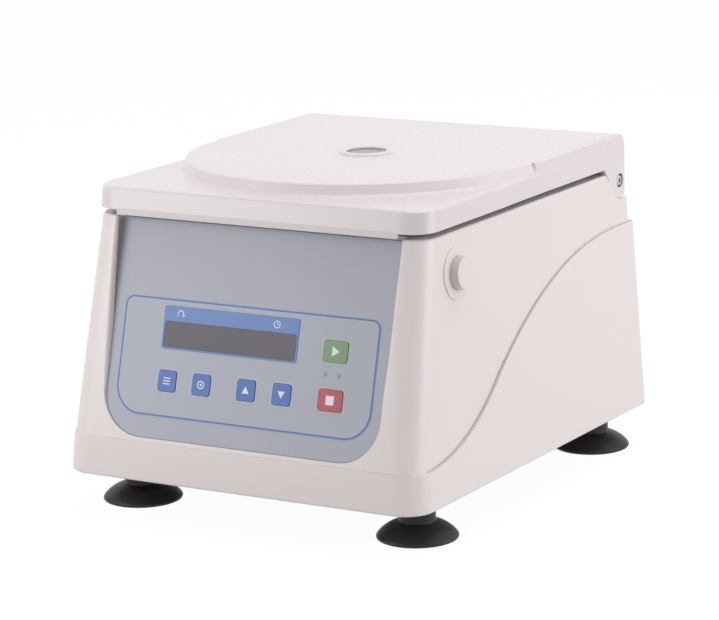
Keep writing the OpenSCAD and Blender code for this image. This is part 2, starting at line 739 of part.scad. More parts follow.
module lid_screws() color([0.7, 0.7, 0.72]) for (p = boss_xy) translate([p[0], p[1], 0]) {
    translate([0, 0, lid_z - 1.8]) cylinder(r = 3, h = 1.8);
    translate([0, 0, lid_z - 1]) cylinder(r = 1.5, h = 11);
}

module lid_striker() color([0.72, 0.72, 0.74]) difference() {
    union() {
        translate([-striker_t / 2, latch_y - 7, latch_z - 8])
            cube([striker_t, 14, lid_z - latch_z + 8]);
        translate([-9, latch_y - 7, lid_z - 1.5]) cube([18, 14, 1.5]);
    }
    translate([-5, latch_y, latch_z]) box_c(20, 2 * striker_hole, -striker_hole, striker_hole);
}

module hinge_bracket(s) color([0.55, 0.56, 0.58]) difference() {
    translate([s * (bracket_x + bracket_w / 2), 0, 0]) side_prism(bracket_w)
        intersection() {
            trough_2d(-shell_gap);
            union() {
                translate([hinge_y, hinge_z]) circle(r = bracket_r);
                translate([hinge_y - 11, hinge_z - 20]) square([22, 20]);
            }
        }
    translate([0, hinge_y, hinge_z]) rotate([0, s * 90, 0])
        cylinder(r = hinge_pin_r + run_gap, h = big);
}
module hinge_bracket_left() hinge_bracket(-1);
module hinge_bracket_right() hinge_bracket(1);

module hinge_screws() color([0.75, 0.75, 0.77]) for (s = [-1, 1])
    translate([s * bracket_x, hinge_y, hinge_z]) rotate([0, s * 90, 0]) difference() {
        union() {
            cylinder(r = hinge_pin_r, h = lid_hw - 3 + shell_gap - bracket_x);
            translate([0, 0, lid_hw - 3 + shell_gap - bracket_x])
                cylinder(r = hinge_head_r, h = 2);
        }
        translate([0, 0, lid_hw - bracket_x - 1.5]) cylinder(r = 2.2, h = 4, $fn = 6);
    }

module lock_bracket() color([0.6, 0.61, 0.63]) difference() {
    translate([solenoid_x - solenoid_l - 4, latch_y - solenoid_w / 2, deck_z - wall - 2])
        cube([solenoid_l + 26, solenoid_w, 2]);
    translate([0, latch_y, 0]) box_c(striker_t + 5, 40, deck_z - wall - 3, deck_z);
}

module lock_solenoid() color([0.25, 0.27, 0.3]) difference() {
    translate([solenoid_x - solenoid_l, latch_y - solenoid_w / 2, latch_z - 8])
        cube([solenoid_l, solenoid_w, deck_z - wall - 2 - latch_z + 8]);
    translate([-big / 2, latch_y, latch_z]) rotate([0, 90, 0])
        cylinder(r = bolt_r + run_gap, h = big);
}

module lock_bolt() color([0.75, 0.75, 0.77])
    translate([solenoid_x - solenoid_l - 12, latch_y, latch_z]) rotate([0, 90, 0]) {
        cylinder(r = bolt_r, h = solenoid_l - solenoid_x + 12 - 3);
        cylinder(r = 5, h = 2);
    }

module lid_button() color([0.78, 0.77, 0.78]) on_button() {
    translate([0, 0, -button_in]) cylinder(r = button_r, h = button_in + bezel_t
        + button_proud - 1);
    translate([0, 0, bezel_t + button_proud - 1]) cylinder(r1 = button_r,
        r2 = button_r - 1, h = 1);
    translate([0, 0, -stem_end]) cylinder(r = stem_r, h = stem_end - button_in + 0.5);
}

module button_bezel() color([0.84, 0.82, 0.83]) on_button() difference() {
    union() {
        cylinder(r1 = button_ring_r, r2 = button_ring_r - 0.8, h = bezel_t, $fn = 96);
        translate([0, 0, -16]) cylinder(r = button_r + 2.4, h = 16.5);
    }
    translate([0, 0, -14]) cylinder(r = button_r + run_gap, h = 30);
    translate([0, 0, -30]) cylinder(r = stem_r + run_gap, h = 30);
}

module button_switch() color([0.12, 0.12, 0.13]) on_button() {
    translate([0, 0, 0]) box_c(6, 20, -switch_z - switch_h, -switch_z);
    translate([0, 0, -switch_z]) cylinder(r = 2, h = 1.2);
}

module button_bracket() color([0.6, 0.61, 0.63]) on_button() {
    translate([-8, bracket_y, -switch_z - switch_h - bracket_t])
        cube([16, bracket_t, switch_z + switch_h + bracket_t - 0.1 - wall]);
    translate([-8, -12, -switch_z - switch_h - bracket_t])
        cube([16, bracket_y + bracket_t + 12, bracket_t]);
}

module chamber_bowl() color([0.75, 0.76, 0.78]) at_rotor(0) rotate_extrude($fn = 128)
    polygon(concat(
        [[shaft_r + 11, bowl_floor_z - bowl_t], [bowl_r - 12, bowl_floor_z - bowl_t]],
        arc(bowl_r - 12, bowl_floor_z + 12, 12 + bowl_t + eps, 270, 360, 8),
        [[bowl_r + bowl_t, deck_z - wall - 1.5],
            [bowl_r + bowl_t + bowl_flange, deck_z - wall - 1.5],
            [bowl_r + bowl_t + bowl_flange, deck_z - wall], [bowl_r, deck_z - wall]],
        arc(bowl_r - 12, bowl_floor_z + 12, 12, 360, 270, 8),
        [[shaft_r + 11, bowl_floor_z]]));

module bowl_screws() color([0.7, 0.7, 0.72]) for (a = [30 : 60 : 330])
    at_rotor(deck_z - wall - 3.5) rotate([0, 0, a]) translate([bowl_r + bowl_t + 3, 0, 0])
        cylinder(r = 2.5, h = 2);

module shaft_seal() color([0.1, 0.1, 0.11]) at_rotor(bowl_floor_z - bowl_t - 4) union() {
    ring(shaft_r + 14, shaft_r + 2.6, 4);
    translate([0, 0, 4]) ring(shaft_r + 10.7, shaft_r + 2.6, bowl_t + 1);
}

function mount_xy() = [for (a = [30 : 120 : 270])
    [mount_pcd_r * cos(a), rotor_y + mount_pcd_r * sin(a)]];

module motor_mounts() color([0.1, 0.1, 0.11]) for (p = mount_xy())
    translate([p[0], p[1], plate_top]) cylinder(r = mount_r, h = mount_h);

module motor_plate() color([0.62, 0.63, 0.65]) at_rotor(motor_plate_z)
    cylinder(r = mount_pcd_r + mount_r + 3, h = motor_plate_t);

module motor_case() color([0.3, 0.31, 0.33]) at_rotor(motor_z) difference() {
    cylinder(r = motor_r, h = motor_h);
    translate([0, 0, motor_wall]) cylinder(r = motor_r - motor_wall, h = motor_h
        - 2 * motor_wall);
    translate([0, 0, motor_wall]) cylinder(r = shaft_r + 2.5, h = motor_h);
}

module motor_stator() color([0.65, 0.4, 0.25])
    at_rotor(motor_z + motor_wall) ring(stator_out, stator_in, motor_h - 2 * motor_wall - 0.3);

module motor_magnets() color([0.35, 0.35, 0.37])
    at_rotor(motor_z + motor_wall + bearing_h + 2) ring(magnet_r, shaft_r + 2 + run_gap,
        motor_h - 2 * motor_wall - 2 * bearing_h - 4);

module motor_bearings() color([0.72, 0.72, 0.74]) for (z = [motor_z + motor_wall,
    motor_top - motor_wall - bearing_h])
        at_rotor(z) ring(bearing_r, shaft_r + 2 + run_gap, bearing_h);

module drive_shaft() color([0.75, 0.75, 0.77]) at_rotor(motor_z + motor_wall + 0.5) {
    cylinder(r = shaft_r + 2, h = shaft_shoulder_z - motor_z - motor_wall - 0.5);
    translate([0, 0, 1]) cylinder(r = shaft_r, h = hub_top_z + 10 - motor_z - motor_wall - 1.5);
}

module rotor_yoke() color([0.7, 0.71, 0.74]) at_rotor(0) difference() {
    union() {
        translate([0, 0, shaft_shoulder_z]) cylinder(r = hub_r, h = hub_top_z
            - shaft_shoulder_z);
        box_c(2 * hub_r, 2 * rail_out, pivot_z - 8, pivot_z + 2);
        for (s = [-1, 1]) translate([0, s * (rail_in + rail_out) / 2, 0])
            box_c(2 * rail_half, rail_t, pivot_z - 8, pivot_z + 8);
    }
    translate([0, 0, shaft_shoulder_z - 1]) cylinder(r = shaft_r + run_gap, h = 80);
    for (s = [-1, 1]) translate([s * arm_r, 0, pivot_z]) rotate([90, 0, 0])
        cylinder(r = carrier_pin_r + run_gap, h = big, center = true);
}

module rotor_nut() color([0.2, 0.2, 0.22]) at_rotor(hub_top_z) difference() {
    union() {
        cylinder(r = 11, h = 9);
        translate([0, 0, 9]) cylinder(r1 = 11, r2 = 8, h = 4);
    }
    translate([0, 0, -1]) cylinder(r = shaft_r + run_gap, h = 11.3);
}

module carrier_pins() color([0.75, 0.75, 0.77]) at_rotor(pivot_z)
    for (sx = [-1, 1]) for (sy = [-1, 1]) translate([sx * arm_r, sy * (rail_out
        + carrier_hl - carrier_t + 0.3) / 2, 0]) rotate([90, 0, 0])
            cylinder(r = carrier_pin_r, h = rail_out - carrier_hl + carrier_t - 0.3,
                center = true);

module plate_carrier(s) color([0.68, 0.7, 0.73]) at_rotor(pivot_z)
    translate([s * arm_r, 0, 0]) difference() {
        union() {
            box_c(2 * carrier_hw, 2 * carrier_hl, -carrier_drop, -carrier_drop + carrier_h);
            for (t = [-1, 1]) translate([0, t * (carrier_hl - carrier_t / 2), 0]) {
                box_c(24, carrier_t, -carrier_drop, 0);
                rotate([90, 0, 0]) cylinder(r = 12, h = carrier_t, center = true);
            }
        }
        box_c(pocket_w, pocket_l, -carrier_drop + carrier_t, 40);
        rotate([90, 0, 0]) cylinder(r = carrier_pin_r + run_gap, h = big, center = true);
        box_c(pocket_w - 24, pocket_l - 24, -carrier_drop - 1, 0);
    }
module plate_carrier_left() plate_carrier(-1);
module plate_carrier_right() plate_carrier(1);

module power_supply() color([0.7, 0.71, 0.72])
    translate([base_w / 2 - psu_in, base_d / 2 - psu_back, plate_top])
        cube([psu_w, psu_l, psu_h]);

module drive_board() color([0.16, 0.36, 0.24]) translate([board_x, board_y, plate_top + board_h]) {
    cube([board_w, board_l, board_t]);
    translate([10, 12, board_t]) cube([30, 40, 14]);
    translate([14, 70, board_t]) cylinder(r = 9, h = 22);
}

module rear_plate() color([0.3, 0.31, 0.33]) on_rear(inlet_x - switch_pitch / 2) difference() {
    translate([-rear_open_w / 2 - 6, -rear_open_h / 2 - 4, -low_wall - plate_t])
        cube([rear_open_w + 12, rear_open_h + 8, plate_t]);
    translate([-switch_pitch / 2, 0, 0]) box_c(29, 21, -10, 5);
    translate([switch_pitch / 2, 0, 0]) box_c(15, 23, -10, 5);
}

module mains_inlet() color([0.1, 0.1, 0.11]) on_rear(inlet_x) {
    difference() {
        union() {
            box_c(46, 28, -low_wall, -0.8);
            box_c(28.4, 20.4, -24, -low_wall);
        }
        box_c(24.4, 16.4, -19, 5);
    }
    for (x = [-7, 0, 7]) translate([x, x == 0 ? 2 : -2, 0]) box_c(2, 4.5, -19.5, -4);
}

module mains_switch() color([0.1, 0.1, 0.11]) on_rear(inlet_x - switch_pitch) difference() {
    union() {
        box_c(20, 28, -low_wall, -0.8);
        box_c(14.4, 22.4, -18, -low_wall);
    }
    box_c(10.4, 18.4, -16, 5);
    translate([0, 0, rocker_z]) rotate([0, 90, 0])
        cylinder(r = 1.5 + run_gap, h = 13.2, center = true);
}

// Rocker on its own pivot pins; it lies tilted to its off side
module mains_rocker() color([0.13, 0.13, 0.14]) on_rear(inlet_x - switch_pitch)
    translate([0, 0, rocker_z]) rotate([rocker_tilt, 0, 0]) {
        intersection() {
            rotate([0, 90, 0]) cylinder(r = rocker_r, h = 9.8, center = true);
            box_c(20, 30, -6, 4.5);
        }
        rotate([0, 90, 0]) cylinder(r = 1.5, h = 13, center = true);
    }

lower_housing();
upper_housing();
base_plate();
foot_front_left();
foot_front_right();
foot_rear_left();
foot_rear_right();
foot_bolts();
front_panel();
keypad_overlay();
display_frame();
display_window();
display_module();
keypad_board();
status_lamps();
key_1();
key_2();
key_up();
key_down();
key_start();
key_stop();
control_board();
lid_shell();
lid_liner();
lid_gasket();
port_ring();
port_lens();
lid_screws();
lid_striker();
hinge_bracket_left();
hinge_bracket_right();
hinge_screws();
lock_bracket();
lock_solenoid();
lock_bolt();
lid_button();
button_bezel();
button_switch();
button_bracket();
chamber_bowl();
bowl_screws();
shaft_seal();
motor_mounts();
motor_plate();
motor_case();
motor_stator();
motor_magnets();
motor_bearings();
drive_shaft();
rotor_yoke();
rotor_nut();
carrier_pins();
plate_carrier_left();
plate_carrier_right();
power_supply();
drive_board();
rear_plate();
mains_inlet();
mains_switch();
mains_rocker();
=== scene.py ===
# %% [markdown]
# A benchtop microplate centrifuge, dressed for the camera.
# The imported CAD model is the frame: it says where every piece is and how it moves.
# Everything here is written in millimetres and turned to metres when a mesh is made.

# %% Load the frame
import json
import math

import bmesh
import bpy
from mathutils import Matrix, Vector


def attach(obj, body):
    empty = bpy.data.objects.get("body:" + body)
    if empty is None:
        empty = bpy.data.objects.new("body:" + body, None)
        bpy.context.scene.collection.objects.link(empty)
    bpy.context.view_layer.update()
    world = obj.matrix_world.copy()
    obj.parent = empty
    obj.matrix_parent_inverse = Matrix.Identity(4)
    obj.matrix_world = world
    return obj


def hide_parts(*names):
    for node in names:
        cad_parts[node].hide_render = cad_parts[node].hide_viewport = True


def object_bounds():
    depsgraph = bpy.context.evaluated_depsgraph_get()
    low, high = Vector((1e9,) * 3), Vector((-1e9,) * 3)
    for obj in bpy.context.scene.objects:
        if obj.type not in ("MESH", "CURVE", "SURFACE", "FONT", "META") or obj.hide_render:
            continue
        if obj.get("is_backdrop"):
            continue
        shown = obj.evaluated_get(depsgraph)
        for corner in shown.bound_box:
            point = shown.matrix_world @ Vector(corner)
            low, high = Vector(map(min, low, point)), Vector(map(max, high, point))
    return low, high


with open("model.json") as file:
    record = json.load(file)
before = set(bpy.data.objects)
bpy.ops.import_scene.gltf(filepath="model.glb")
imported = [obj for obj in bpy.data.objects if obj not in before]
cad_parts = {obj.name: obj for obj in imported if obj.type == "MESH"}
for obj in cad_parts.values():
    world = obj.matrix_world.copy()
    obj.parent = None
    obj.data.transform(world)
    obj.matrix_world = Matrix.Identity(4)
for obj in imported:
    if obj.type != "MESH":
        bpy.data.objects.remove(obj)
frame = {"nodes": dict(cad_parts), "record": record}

cad_low, cad_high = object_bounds()
MM = 0.001
SCENE = bpy.context.scene
NODE_SLOT = {row["node"]: row["material_slot"] for row in frame["record"]["subparts"]}
NODE_BODY = {n: body for body, names in frame["record"]["behaviour"]["bodies"].items() for n in names}

# %% [markdown]
# The sizes below are the ones the CAD part uses. The case leans in on every side, so its half
# width and the places of its front and rear are small functions of the height z.

# %% Sizes of the case, in millimetres
BASE_HW, BASE_HD = 170.0, 205.0
CASE_Z, DECK_Z = 35.0, 246.0
SIDE_LEAN, REAR_LEAN, FRONT_LEAN = 11.3, 6.0, 39.5
FRONT_R, REAR_R = 25.0, 4.0
WALL, LOW_WALL, STEP = 3.0, 2.7, 3.0
SEAM_LOW, SEAM_MID, SEAM_HIGH = 68.0, 120.0, 200.0
SEAM_Y0, SEAM_Y1, SEAM_Y2, SEAM_POWER = -190.0, -57.0, 175.0, 2.2
LIP_H = 10.0
PANEL_Y, PANEL_Z, PANEL_TILT = -178.6, 150.0, math.radians(15.4)
PANEL_HW, PANEL_DOWN, PANEL_UP, PANEL_R, PANEL_T = 130.0, 81.5, 100.1, 36.0, 3.0
NOTCH_H = 2.4
ROTOR_Y = 17.0
LID_HW, LID_FRONT, LID_REAR = 155.7, -163.0, 193.0
LID_Z, LID_LOW, LID_TOP = 250.5, 268.9, 278.4
BLOCK_Y = 25.0
HINGE_Y, HINGE_Z, CHEEK_R, CHEEK_GAP = 184.0, 237.2, 15.5, 0.7
CHEEK_IN = 143.0
PORT_R = 16.9
CORNER_POWER, LID_REAR_R = 2.45, 1.2


def up_hw(z):
    """Half the width of the upper housing at height z."""
    return BASE_HW - STEP - SIDE_LEAN * (z - CASE_Z) / (DECK_Z - CASE_Z)


def low_hw(z):
    """Half the width of the lower housing at height z."""
    return up_hw(z) + STEP


def low_rear(z):
    """Where the rear of the lower housing stands at height z."""
    return BASE_HD - REAR_LEAN * (z - CASE_Z) / (DECK_Z - CASE_Z)


def up_rear(z):
    """Where the rear of the upper housing stands at height z."""
    return low_rear(z) - STEP


def up_front(z):
    """Where the front of the upper housing stands at height z."""
    soft = 0.8 * max(0, (SEAM_LOW + 22 - z) / 22) ** 2 if z > SEAM_LOW else 0.8
    return -BASE_HD + 2.5 + soft + FRONT_LEAN * (z - SEAM_LOW) / (DECK_Z - SEAM_LOW)


def low_front(z):
    """Where the front of the lower housing stands at height z."""
    if z <= SEAM_LOW:
        return -BASE_HD + 3.15 * (max(0, z - CASE_Z) / (SEAM_LOW - CASE_Z)) ** 1.6
    t = (z - SEAM_LOW) / (SEAM_HIGH - SEAM_LOW)
    return (-BASE_HD + 3.15) * (1 - t) + up_front(SEAM_HIGH) * t


def seam_z(y):
    """Height of the swept seam between the housings, at depth y."""
    if y < SEAM_Y0:
        return SEAM_LOW
    if y < SEAM_Y1:
        t = (y - SEAM_Y0) / (SEAM_Y1 - SEAM_Y0)
        return SEAM_LOW + (SEAM_MID - SEAM_LOW) * t ** SEAM_POWER
    if y < SEAM_Y2:
        t = (y - SEAM_Y1) / (SEAM_Y2 - SEAM_Y1)
        return SEAM_MID + (SEAM_HIGH - SEAM_MID) * (1 - (1 - t) ** SEAM_POWER)
    return SEAM_HIGH


print("deck half width", round(up_hw(DECK_Z), 1))

# %% [markdown]
# Mesh helpers. A moulded shell is a stack of closed outlines, each a little larger or smaller
# than the one below: a loft. Rounded edges are then just a few more outlines, with no bevel tool
# to guess at. What has to be cut is cut with exact booleans, by cutters that flare where they
# leave the surface, so that the cut gets its rounded edge at the same time.

# %% Mesh helpers
def in_scene(name, data):
    """A new object, linked to the scene."""
    obj = bpy.data.objects.new(name, data)
    SCENE.collection.objects.link(obj)
    return obj


def new_object(name, verts, faces):
    """A closed mesh object from points in millimetres, with its faces turned outwards."""
    mesh = bpy.data.meshes.new(name)
    mesh.from_pydata([(v[0] * MM, v[1] * MM, v[2] * MM) for v in verts], [], faces)
    bm = bmesh.new()
    bm.from_mesh(mesh)
    bmesh.ops.remove_doubles(bm, verts=bm.verts, dist=1e-7)
    bmesh.ops.recalc_face_normals(bm, faces=bm.faces)
    bm.to_mesh(mesh)
    bm.free()
    return in_scene(name, mesh)


def loft(name, rings, strip_low=False, strip_high=False, at=None, hollow=False):
    """A solid through closed rings of equally many points. A ring that isn't flat is closed by a
    strip across the case, which needs an outline that mirrors itself. A hollow loft has no ends:
    its last ring joins its first."""
    n, m = len(rings[0]), len(rings)
    verts = [p for ring in rings for p in ring]
    if at is not None:
        verts = [at @ Vector(p) for p in verts]
    faces = []
    for k in range(m if hollow else m - 1):
        for i in range(n):
            j, above = (i + 1) % n, (k + 1) % m * n
            faces.append((k * n + i, k * n + j, above + j, above + i))
    for first, strip in () if hollow else ((0, strip_low), ((m - 1) * n, strip_high)):
        if strip:
            faces += [(first + i, first + i + 1, first + n - 2 - i, first + n - 1 - i)
                      for i in range(n // 2 - 1)]
        else:
            faces.append(tuple(range(first, first + n)))
    return new_object(name, verts, faces)


def sin_cos(*degrees):
    """Sine and cosine of each angle, for the rings of a rounded edge."""
    return [(math.sin(math.radians(a)), math.cos(math.radians(a))) for a in degrees]


def turning(a0, a1, n):
    """The same for n even steps from a0 to a1."""
    return sin_cos(*(a0 + (a1 - a0) * i / n for i in range(n + 1)))


def arc(cx, cy, r, a0, a1, n):
    """Points on an arc, angles in degrees."""
    return [(cx + r * c, cy + r * s) for s, c in turning(a0, a1, n)]


def soft_corner(cx, cy, r, power, n):
    """The right front corner. A power above 2 gathers the bend in the middle of the corner."""
    return [(cx + r * s ** (2 / power), cy - r * abs(c) ** (2 / power)) for s, c in turning(0, 90, n)]


def plan(hw, y0, y1, rf, rr, power=2.0, n=16, m=36):
    """Outline seen from above, mirrored about the middle, with m points along each side."""
    side = [y0 + rf + (y1 - rr - y0 - rf) * (i + 1) / (m + 1) for i in range(m)]
    right = (soft_corner(hw - rf, y0 + rf, rf, power, n) + [(hw, y) for y in side]
             + arc(hw - rr, y1 - rr, rr, 0, 90, 6))
    return right + [(-x, y) for x, y in reversed(right)]


def grow(points, d):
    """The outline moved outwards by d, for an outline that runs counter-clockwise."""
    out, n = [], len(points)
    for i in range(n):
        a, b, c = Vector(points[i - 1]), Vector(points[i]), Vector(points[(i + 1) % n])
        u, v = (b - a).normalized(), (c - b).normalized()
        nu, nv = Vector((u.y, -u.x)), Vector((v.y, -v.x))
        m = (nu + nv).normalized()
        out.append(tuple(b + m * (d / max(0.35, m.dot(nu)))))
    return out


def round_rect(cx, cy, w, h, r, n=6):
    """A rectangle with rounded corners, counter-clockwise."""
    x, y = w / 2 - r, h / 2 - r
    return (arc(cx + x, cy + y, r, 0, 90, n) + arc(cx - x, cy + y, r, 90, 180, n)
            + arc(cx - x, cy - y, r, 180, 270, n) + arc(cx + x, cy - y, r, 270, 360, n))


def slab(name, outline, z0, z1, r_low=0.0, r_high=0.0, at=None, n=4):
    """A flat piece with rounded edges below and above."""
    quarter = turning(0, 90, n)
    if r_low:
        rings = [[(x, y, z0 + r_low * (1 - c)) for x, y in grow(outline, r_low * (s - 1))]
                 for s, c in quarter]
    else:
        rings = [[(x, y, z0) for x, y in outline]]
    if r_high:
        rings += [[(x, y, z1 - r_high * (1 - s)) for x, y in grow(outline, r_high * (c - 1))]
                  for s, c in quarter]
    else:
        rings.append([(x, y, z1) for x, y in outline])
    return loft(name, rings, at=at)


def turned(name, profile, at=None, n=96, hollow=False):
    """A solid of revolution about local z from (radius, height) points."""
    rings = [[(r * math.cos(math.tau * i / n), r * math.sin(math.tau * i / n), z) for i in range(n)]
             for r, z in profile]
    return loft(name, rings, at=at, hollow=hollow)


def flatten(obj):
    """Turns the object with its modifiers into a plain mesh."""
    graph = bpy.context.evaluated_depsgraph_get()
    mesh = bpy.data.meshes.new_from_object(obj.evaluated_get(graph))
    old = obj.data
    obj.modifiers.clear()
    obj.data = mesh
    bpy.data.meshes.remove(old)
    return obj


def carve(obj, cutter, how="DIFFERENCE"):
    """Cuts, joins or trims obj with another solid, which is used up."""
    mod = obj.modifiers.new("carve", "BOOLEAN")
    mod.operation, mod.object, mod.solver = how, cutter, "EXACT"
    flatten(obj)
    bpy.data.objects.remove(cutter)
    return obj


def join_solid(obj, other):
    """Joins another solid to obj."""
    return carve(obj, other, "UNION")


def settle(obj, body, slot, material, *nodes, angle=32, weighted=True):
    """Smooth shading with true creases, a material, a body to ride on and the nodes it stands for."""
    for p in obj.data.polygons:
        p.use_smooth = True
    obj.data.set_sharp_from_angle(angle=math.radians(angle))
    if weighted:
        mod = obj.modifiers.new("even_normals", "WEIGHTED_NORMAL")
        mod.keep_sharp, mod.weight = True, 50
    obj.data.materials.clear()
    obj.data.materials.append(material)
    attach(obj, body)
    if nodes:
        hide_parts(*nodes)
    print(f"{obj.name}: {len(obj.data.polygons)} faces on {body}")
    return obj


# %% [markdown]
# Local frames. The keypad lies on the tilted front panel, the lid button on the leaning right
# side, and the mains pieces on the rear. Each frame has x across, y up and z out of the surface.

# %% Local frames
ON_PANEL = Matrix.Translation((0, PANEL_Y, PANEL_Z)) @ Matrix.Rotation(math.pi / 2 - PANEL_TILT, 4, "X")
BUTTON_Y, BUTTON_Z = -115.0, 213.0
SIDE_ANGLE = math.atan(SIDE_LEAN / (DECK_Z - CASE_Z))
ON_BUTTON = (Matrix.Translation((up_hw(BUTTON_Z), BUTTON_Y, BUTTON_Z))
             @ Matrix.Rotation(math.pi / 2 - SIDE_ANGLE, 4, "Y"))
AT_ROTOR = Matrix.Translation((0, ROTOR_Y, 0))
print("panel normal", ON_PANEL.to_3x3().col[2])

# %% [markdown]
# The camera was fitted to some fifty edges and corners of the photograph. A long lens, about
# 157 mm on a full frame, looks down by twelve and a half degrees from the right front.

# %% Camera
CAMERA_AT = Vector((1325.122, -2232.886, 719.863)) * MM
CAMERA_AZ, CAMERA_DOWN, CAMERA_ROLL = math.radians(30.70), math.radians(12.48), math.radians(1.39)
back = Vector((math.sin(CAMERA_AZ) * math.cos(CAMERA_DOWN),
               -math.cos(CAMERA_AZ) * math.cos(CAMERA_DOWN), math.sin(CAMERA_DOWN)))
across = Vector((math.cos(CAMERA_AZ), math.sin(CAMERA_AZ), 0))
upward = across.cross(-back)
right = across * math.cos(CAMERA_ROLL) - upward * math.sin(CAMERA_ROLL)
top = across * math.sin(CAMERA_ROLL) + upward * math.cos(CAMERA_ROLL)
lens = bpy.data.cameras.new("camera")
lens.lens, lens.sensor_width, lens.clip_end = 156.99, 36.0, 50.0
camera = in_scene("camera", lens)
camera.matrix_world = Matrix.Translation(CAMERA_AT) @ Matrix((right, top, back)).transposed().to_4x4()
SCENE.camera = camera
print("camera", [round(v, 3) for v in camera.location])

# %% [markdown]
# Light. A white tent: an even world, one large soft lamp above, a smaller one low on the right
# and a weak one near the left front. The floor and the world are white only for the rays that
# look at them, so the background is white while the object is lit at a plain level. The floor
# keeps a soft shadow.

# %% World, floor and lamps
AMBIENT, FLOOR_GREY, FLOOR_GLOW, FLOOR_SHARE = 0.54, 0.62, 1.05, 0.91
TENT_WHITE = (1.0, 0.985, 0.98)


def fill(tree, node, inputs):
    """Sets a node's inputs: a socket of another node is linked, any other value is written."""
    for key, value in inputs.items():
        if isinstance(value, bpy.types.NodeSocket):
            tree.links.new(value, node.inputs[key])
        else:
            node.inputs[key].default_value = value
    return node


def add(tree, kind, inputs={}, **settings):
    """Adds a node with its settings, and then its inputs, which may depend on them."""
    node = tree.nodes.new(kind)
    for key, value in settings.items():
        setattr(node, key, value)
    return fill(tree, node, inputs)


def seen_directly(tree):
    """One for camera, mirror and glass rays, and zero for light that bounces."""
    path = add(tree, "ShaderNodeLightPath").outputs
    either = add(tree, "ShaderNodeMath", {0: path["Is Camera Ray"], 1: path["Is Glossy Ray"]},
                 operation="MAXIMUM").outputs[0]
    return add(tree, "ShaderNodeMath", {0: either, 1: path["Is Transmission Ray"]},
               operation="MAXIMUM").outputs[0]


def bare_tree(owner):
    """The emptied node tree of a world or material."""
    owner.use_nodes = True
    owner.node_tree.nodes.clear()
    return owner.node_tree


SCENE.world = bpy.data.worlds.new("tent")
tree = bare_tree(SCENE.world)
soft = add(tree, "ShaderNodeBackground", {"Color": (*TENT_WHITE, 1), "Strength": AMBIENT})
white = add(tree, "ShaderNodeBackground", {"Color": (1, 1, 1, 1), "Strength": 1.0})
mixer = add(tree, "ShaderNodeMixShader", {
    0: seen_directly(tree), 1: soft.outputs[0], 2: white.outputs[0]})
add(tree, "ShaderNodeOutputWorld", {"Surface": mixer.outputs[0]})

floor_mat = bpy.data.materials.new("floor_white")
tree = bare_tree(floor_mat)
matt = add(tree, "ShaderNodeBsdfDiffuse", {"Color": (*[FLOOR_GREY] * 3, 1)})
glow = add(tree, "ShaderNodeEmission", {"Strength": FLOOR_GLOW})
share = add(tree, "ShaderNodeMath", {0: seen_directly(tree), 1: FLOOR_SHARE}, operation="MULTIPLY")
blend_in = add(tree, "ShaderNodeMixShader", {0: share.outputs[0], 1: matt.outputs[0], 2: glow.outputs[0]})
add(tree, "ShaderNodeOutputMaterial", {"Surface": blend_in.outputs[0]})

FLOOR_HW, FLOOR_Z = 9000, -0.2
floor = new_object("floor", [(x * FLOOR_HW, y * FLOOR_HW, FLOOR_Z)
                             for x, y in ((-1, -1), (1, -1), (1, 1), (-1, 1))], [(0, 1, 2, 3)])
floor.data.materials.append(floor_mat)
floor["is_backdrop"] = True


def soft_lamp(name, place, size, watts, tint=TENT_WHITE):
    """A square lamp at a place in metres that looks at the middle of the case."""
    data = bpy.data.lights.new(name, "AREA")
    data.shape, data.size, data.energy = "SQUARE", size, watts
    data.color = tint
    lamp = in_scene(name, data)
    lamp.visible_camera = False
    lamp.location = place
    lamp.rotation_euler = (Vector((0, 0, 0.15)) - Vector(place)).to_track_quat("-Z", "Y").to_euler()


soft_lamp("lamp_top", (0.2, 0.5, 2.4), 2.0, 25.5, (0.98, 0.94, 1.0))
soft_lamp("lamp_right", (1.4, 0.3, 0.4), 0.9, 7.0)
soft_lamp("lamp_left", (-0.55, -0.85, 0.42), 0.5, 2.6)
SCENE.view_settings.view_transform = "Standard"

# %% [markdown]
# Finishes. Each is a small node tree: a broad noise shifts the colour a little, a fine one makes
# the moulded or brushed grain as bump and breaks up the roughness. Values that are the same all
# over are set on the shader itself, so that an export keeps them.

# %% Finishes
def linear(*rgb):
    """Colour as a screen shows it, 0 to 255, turned to what the shader takes."""
    out = []
    for c in rgb:
        c = c / 255
        out.append(c / 12.92 if c <= 0.04045 else ((c + 0.055) / 1.055) ** 2.4)
    return (*out, 1)


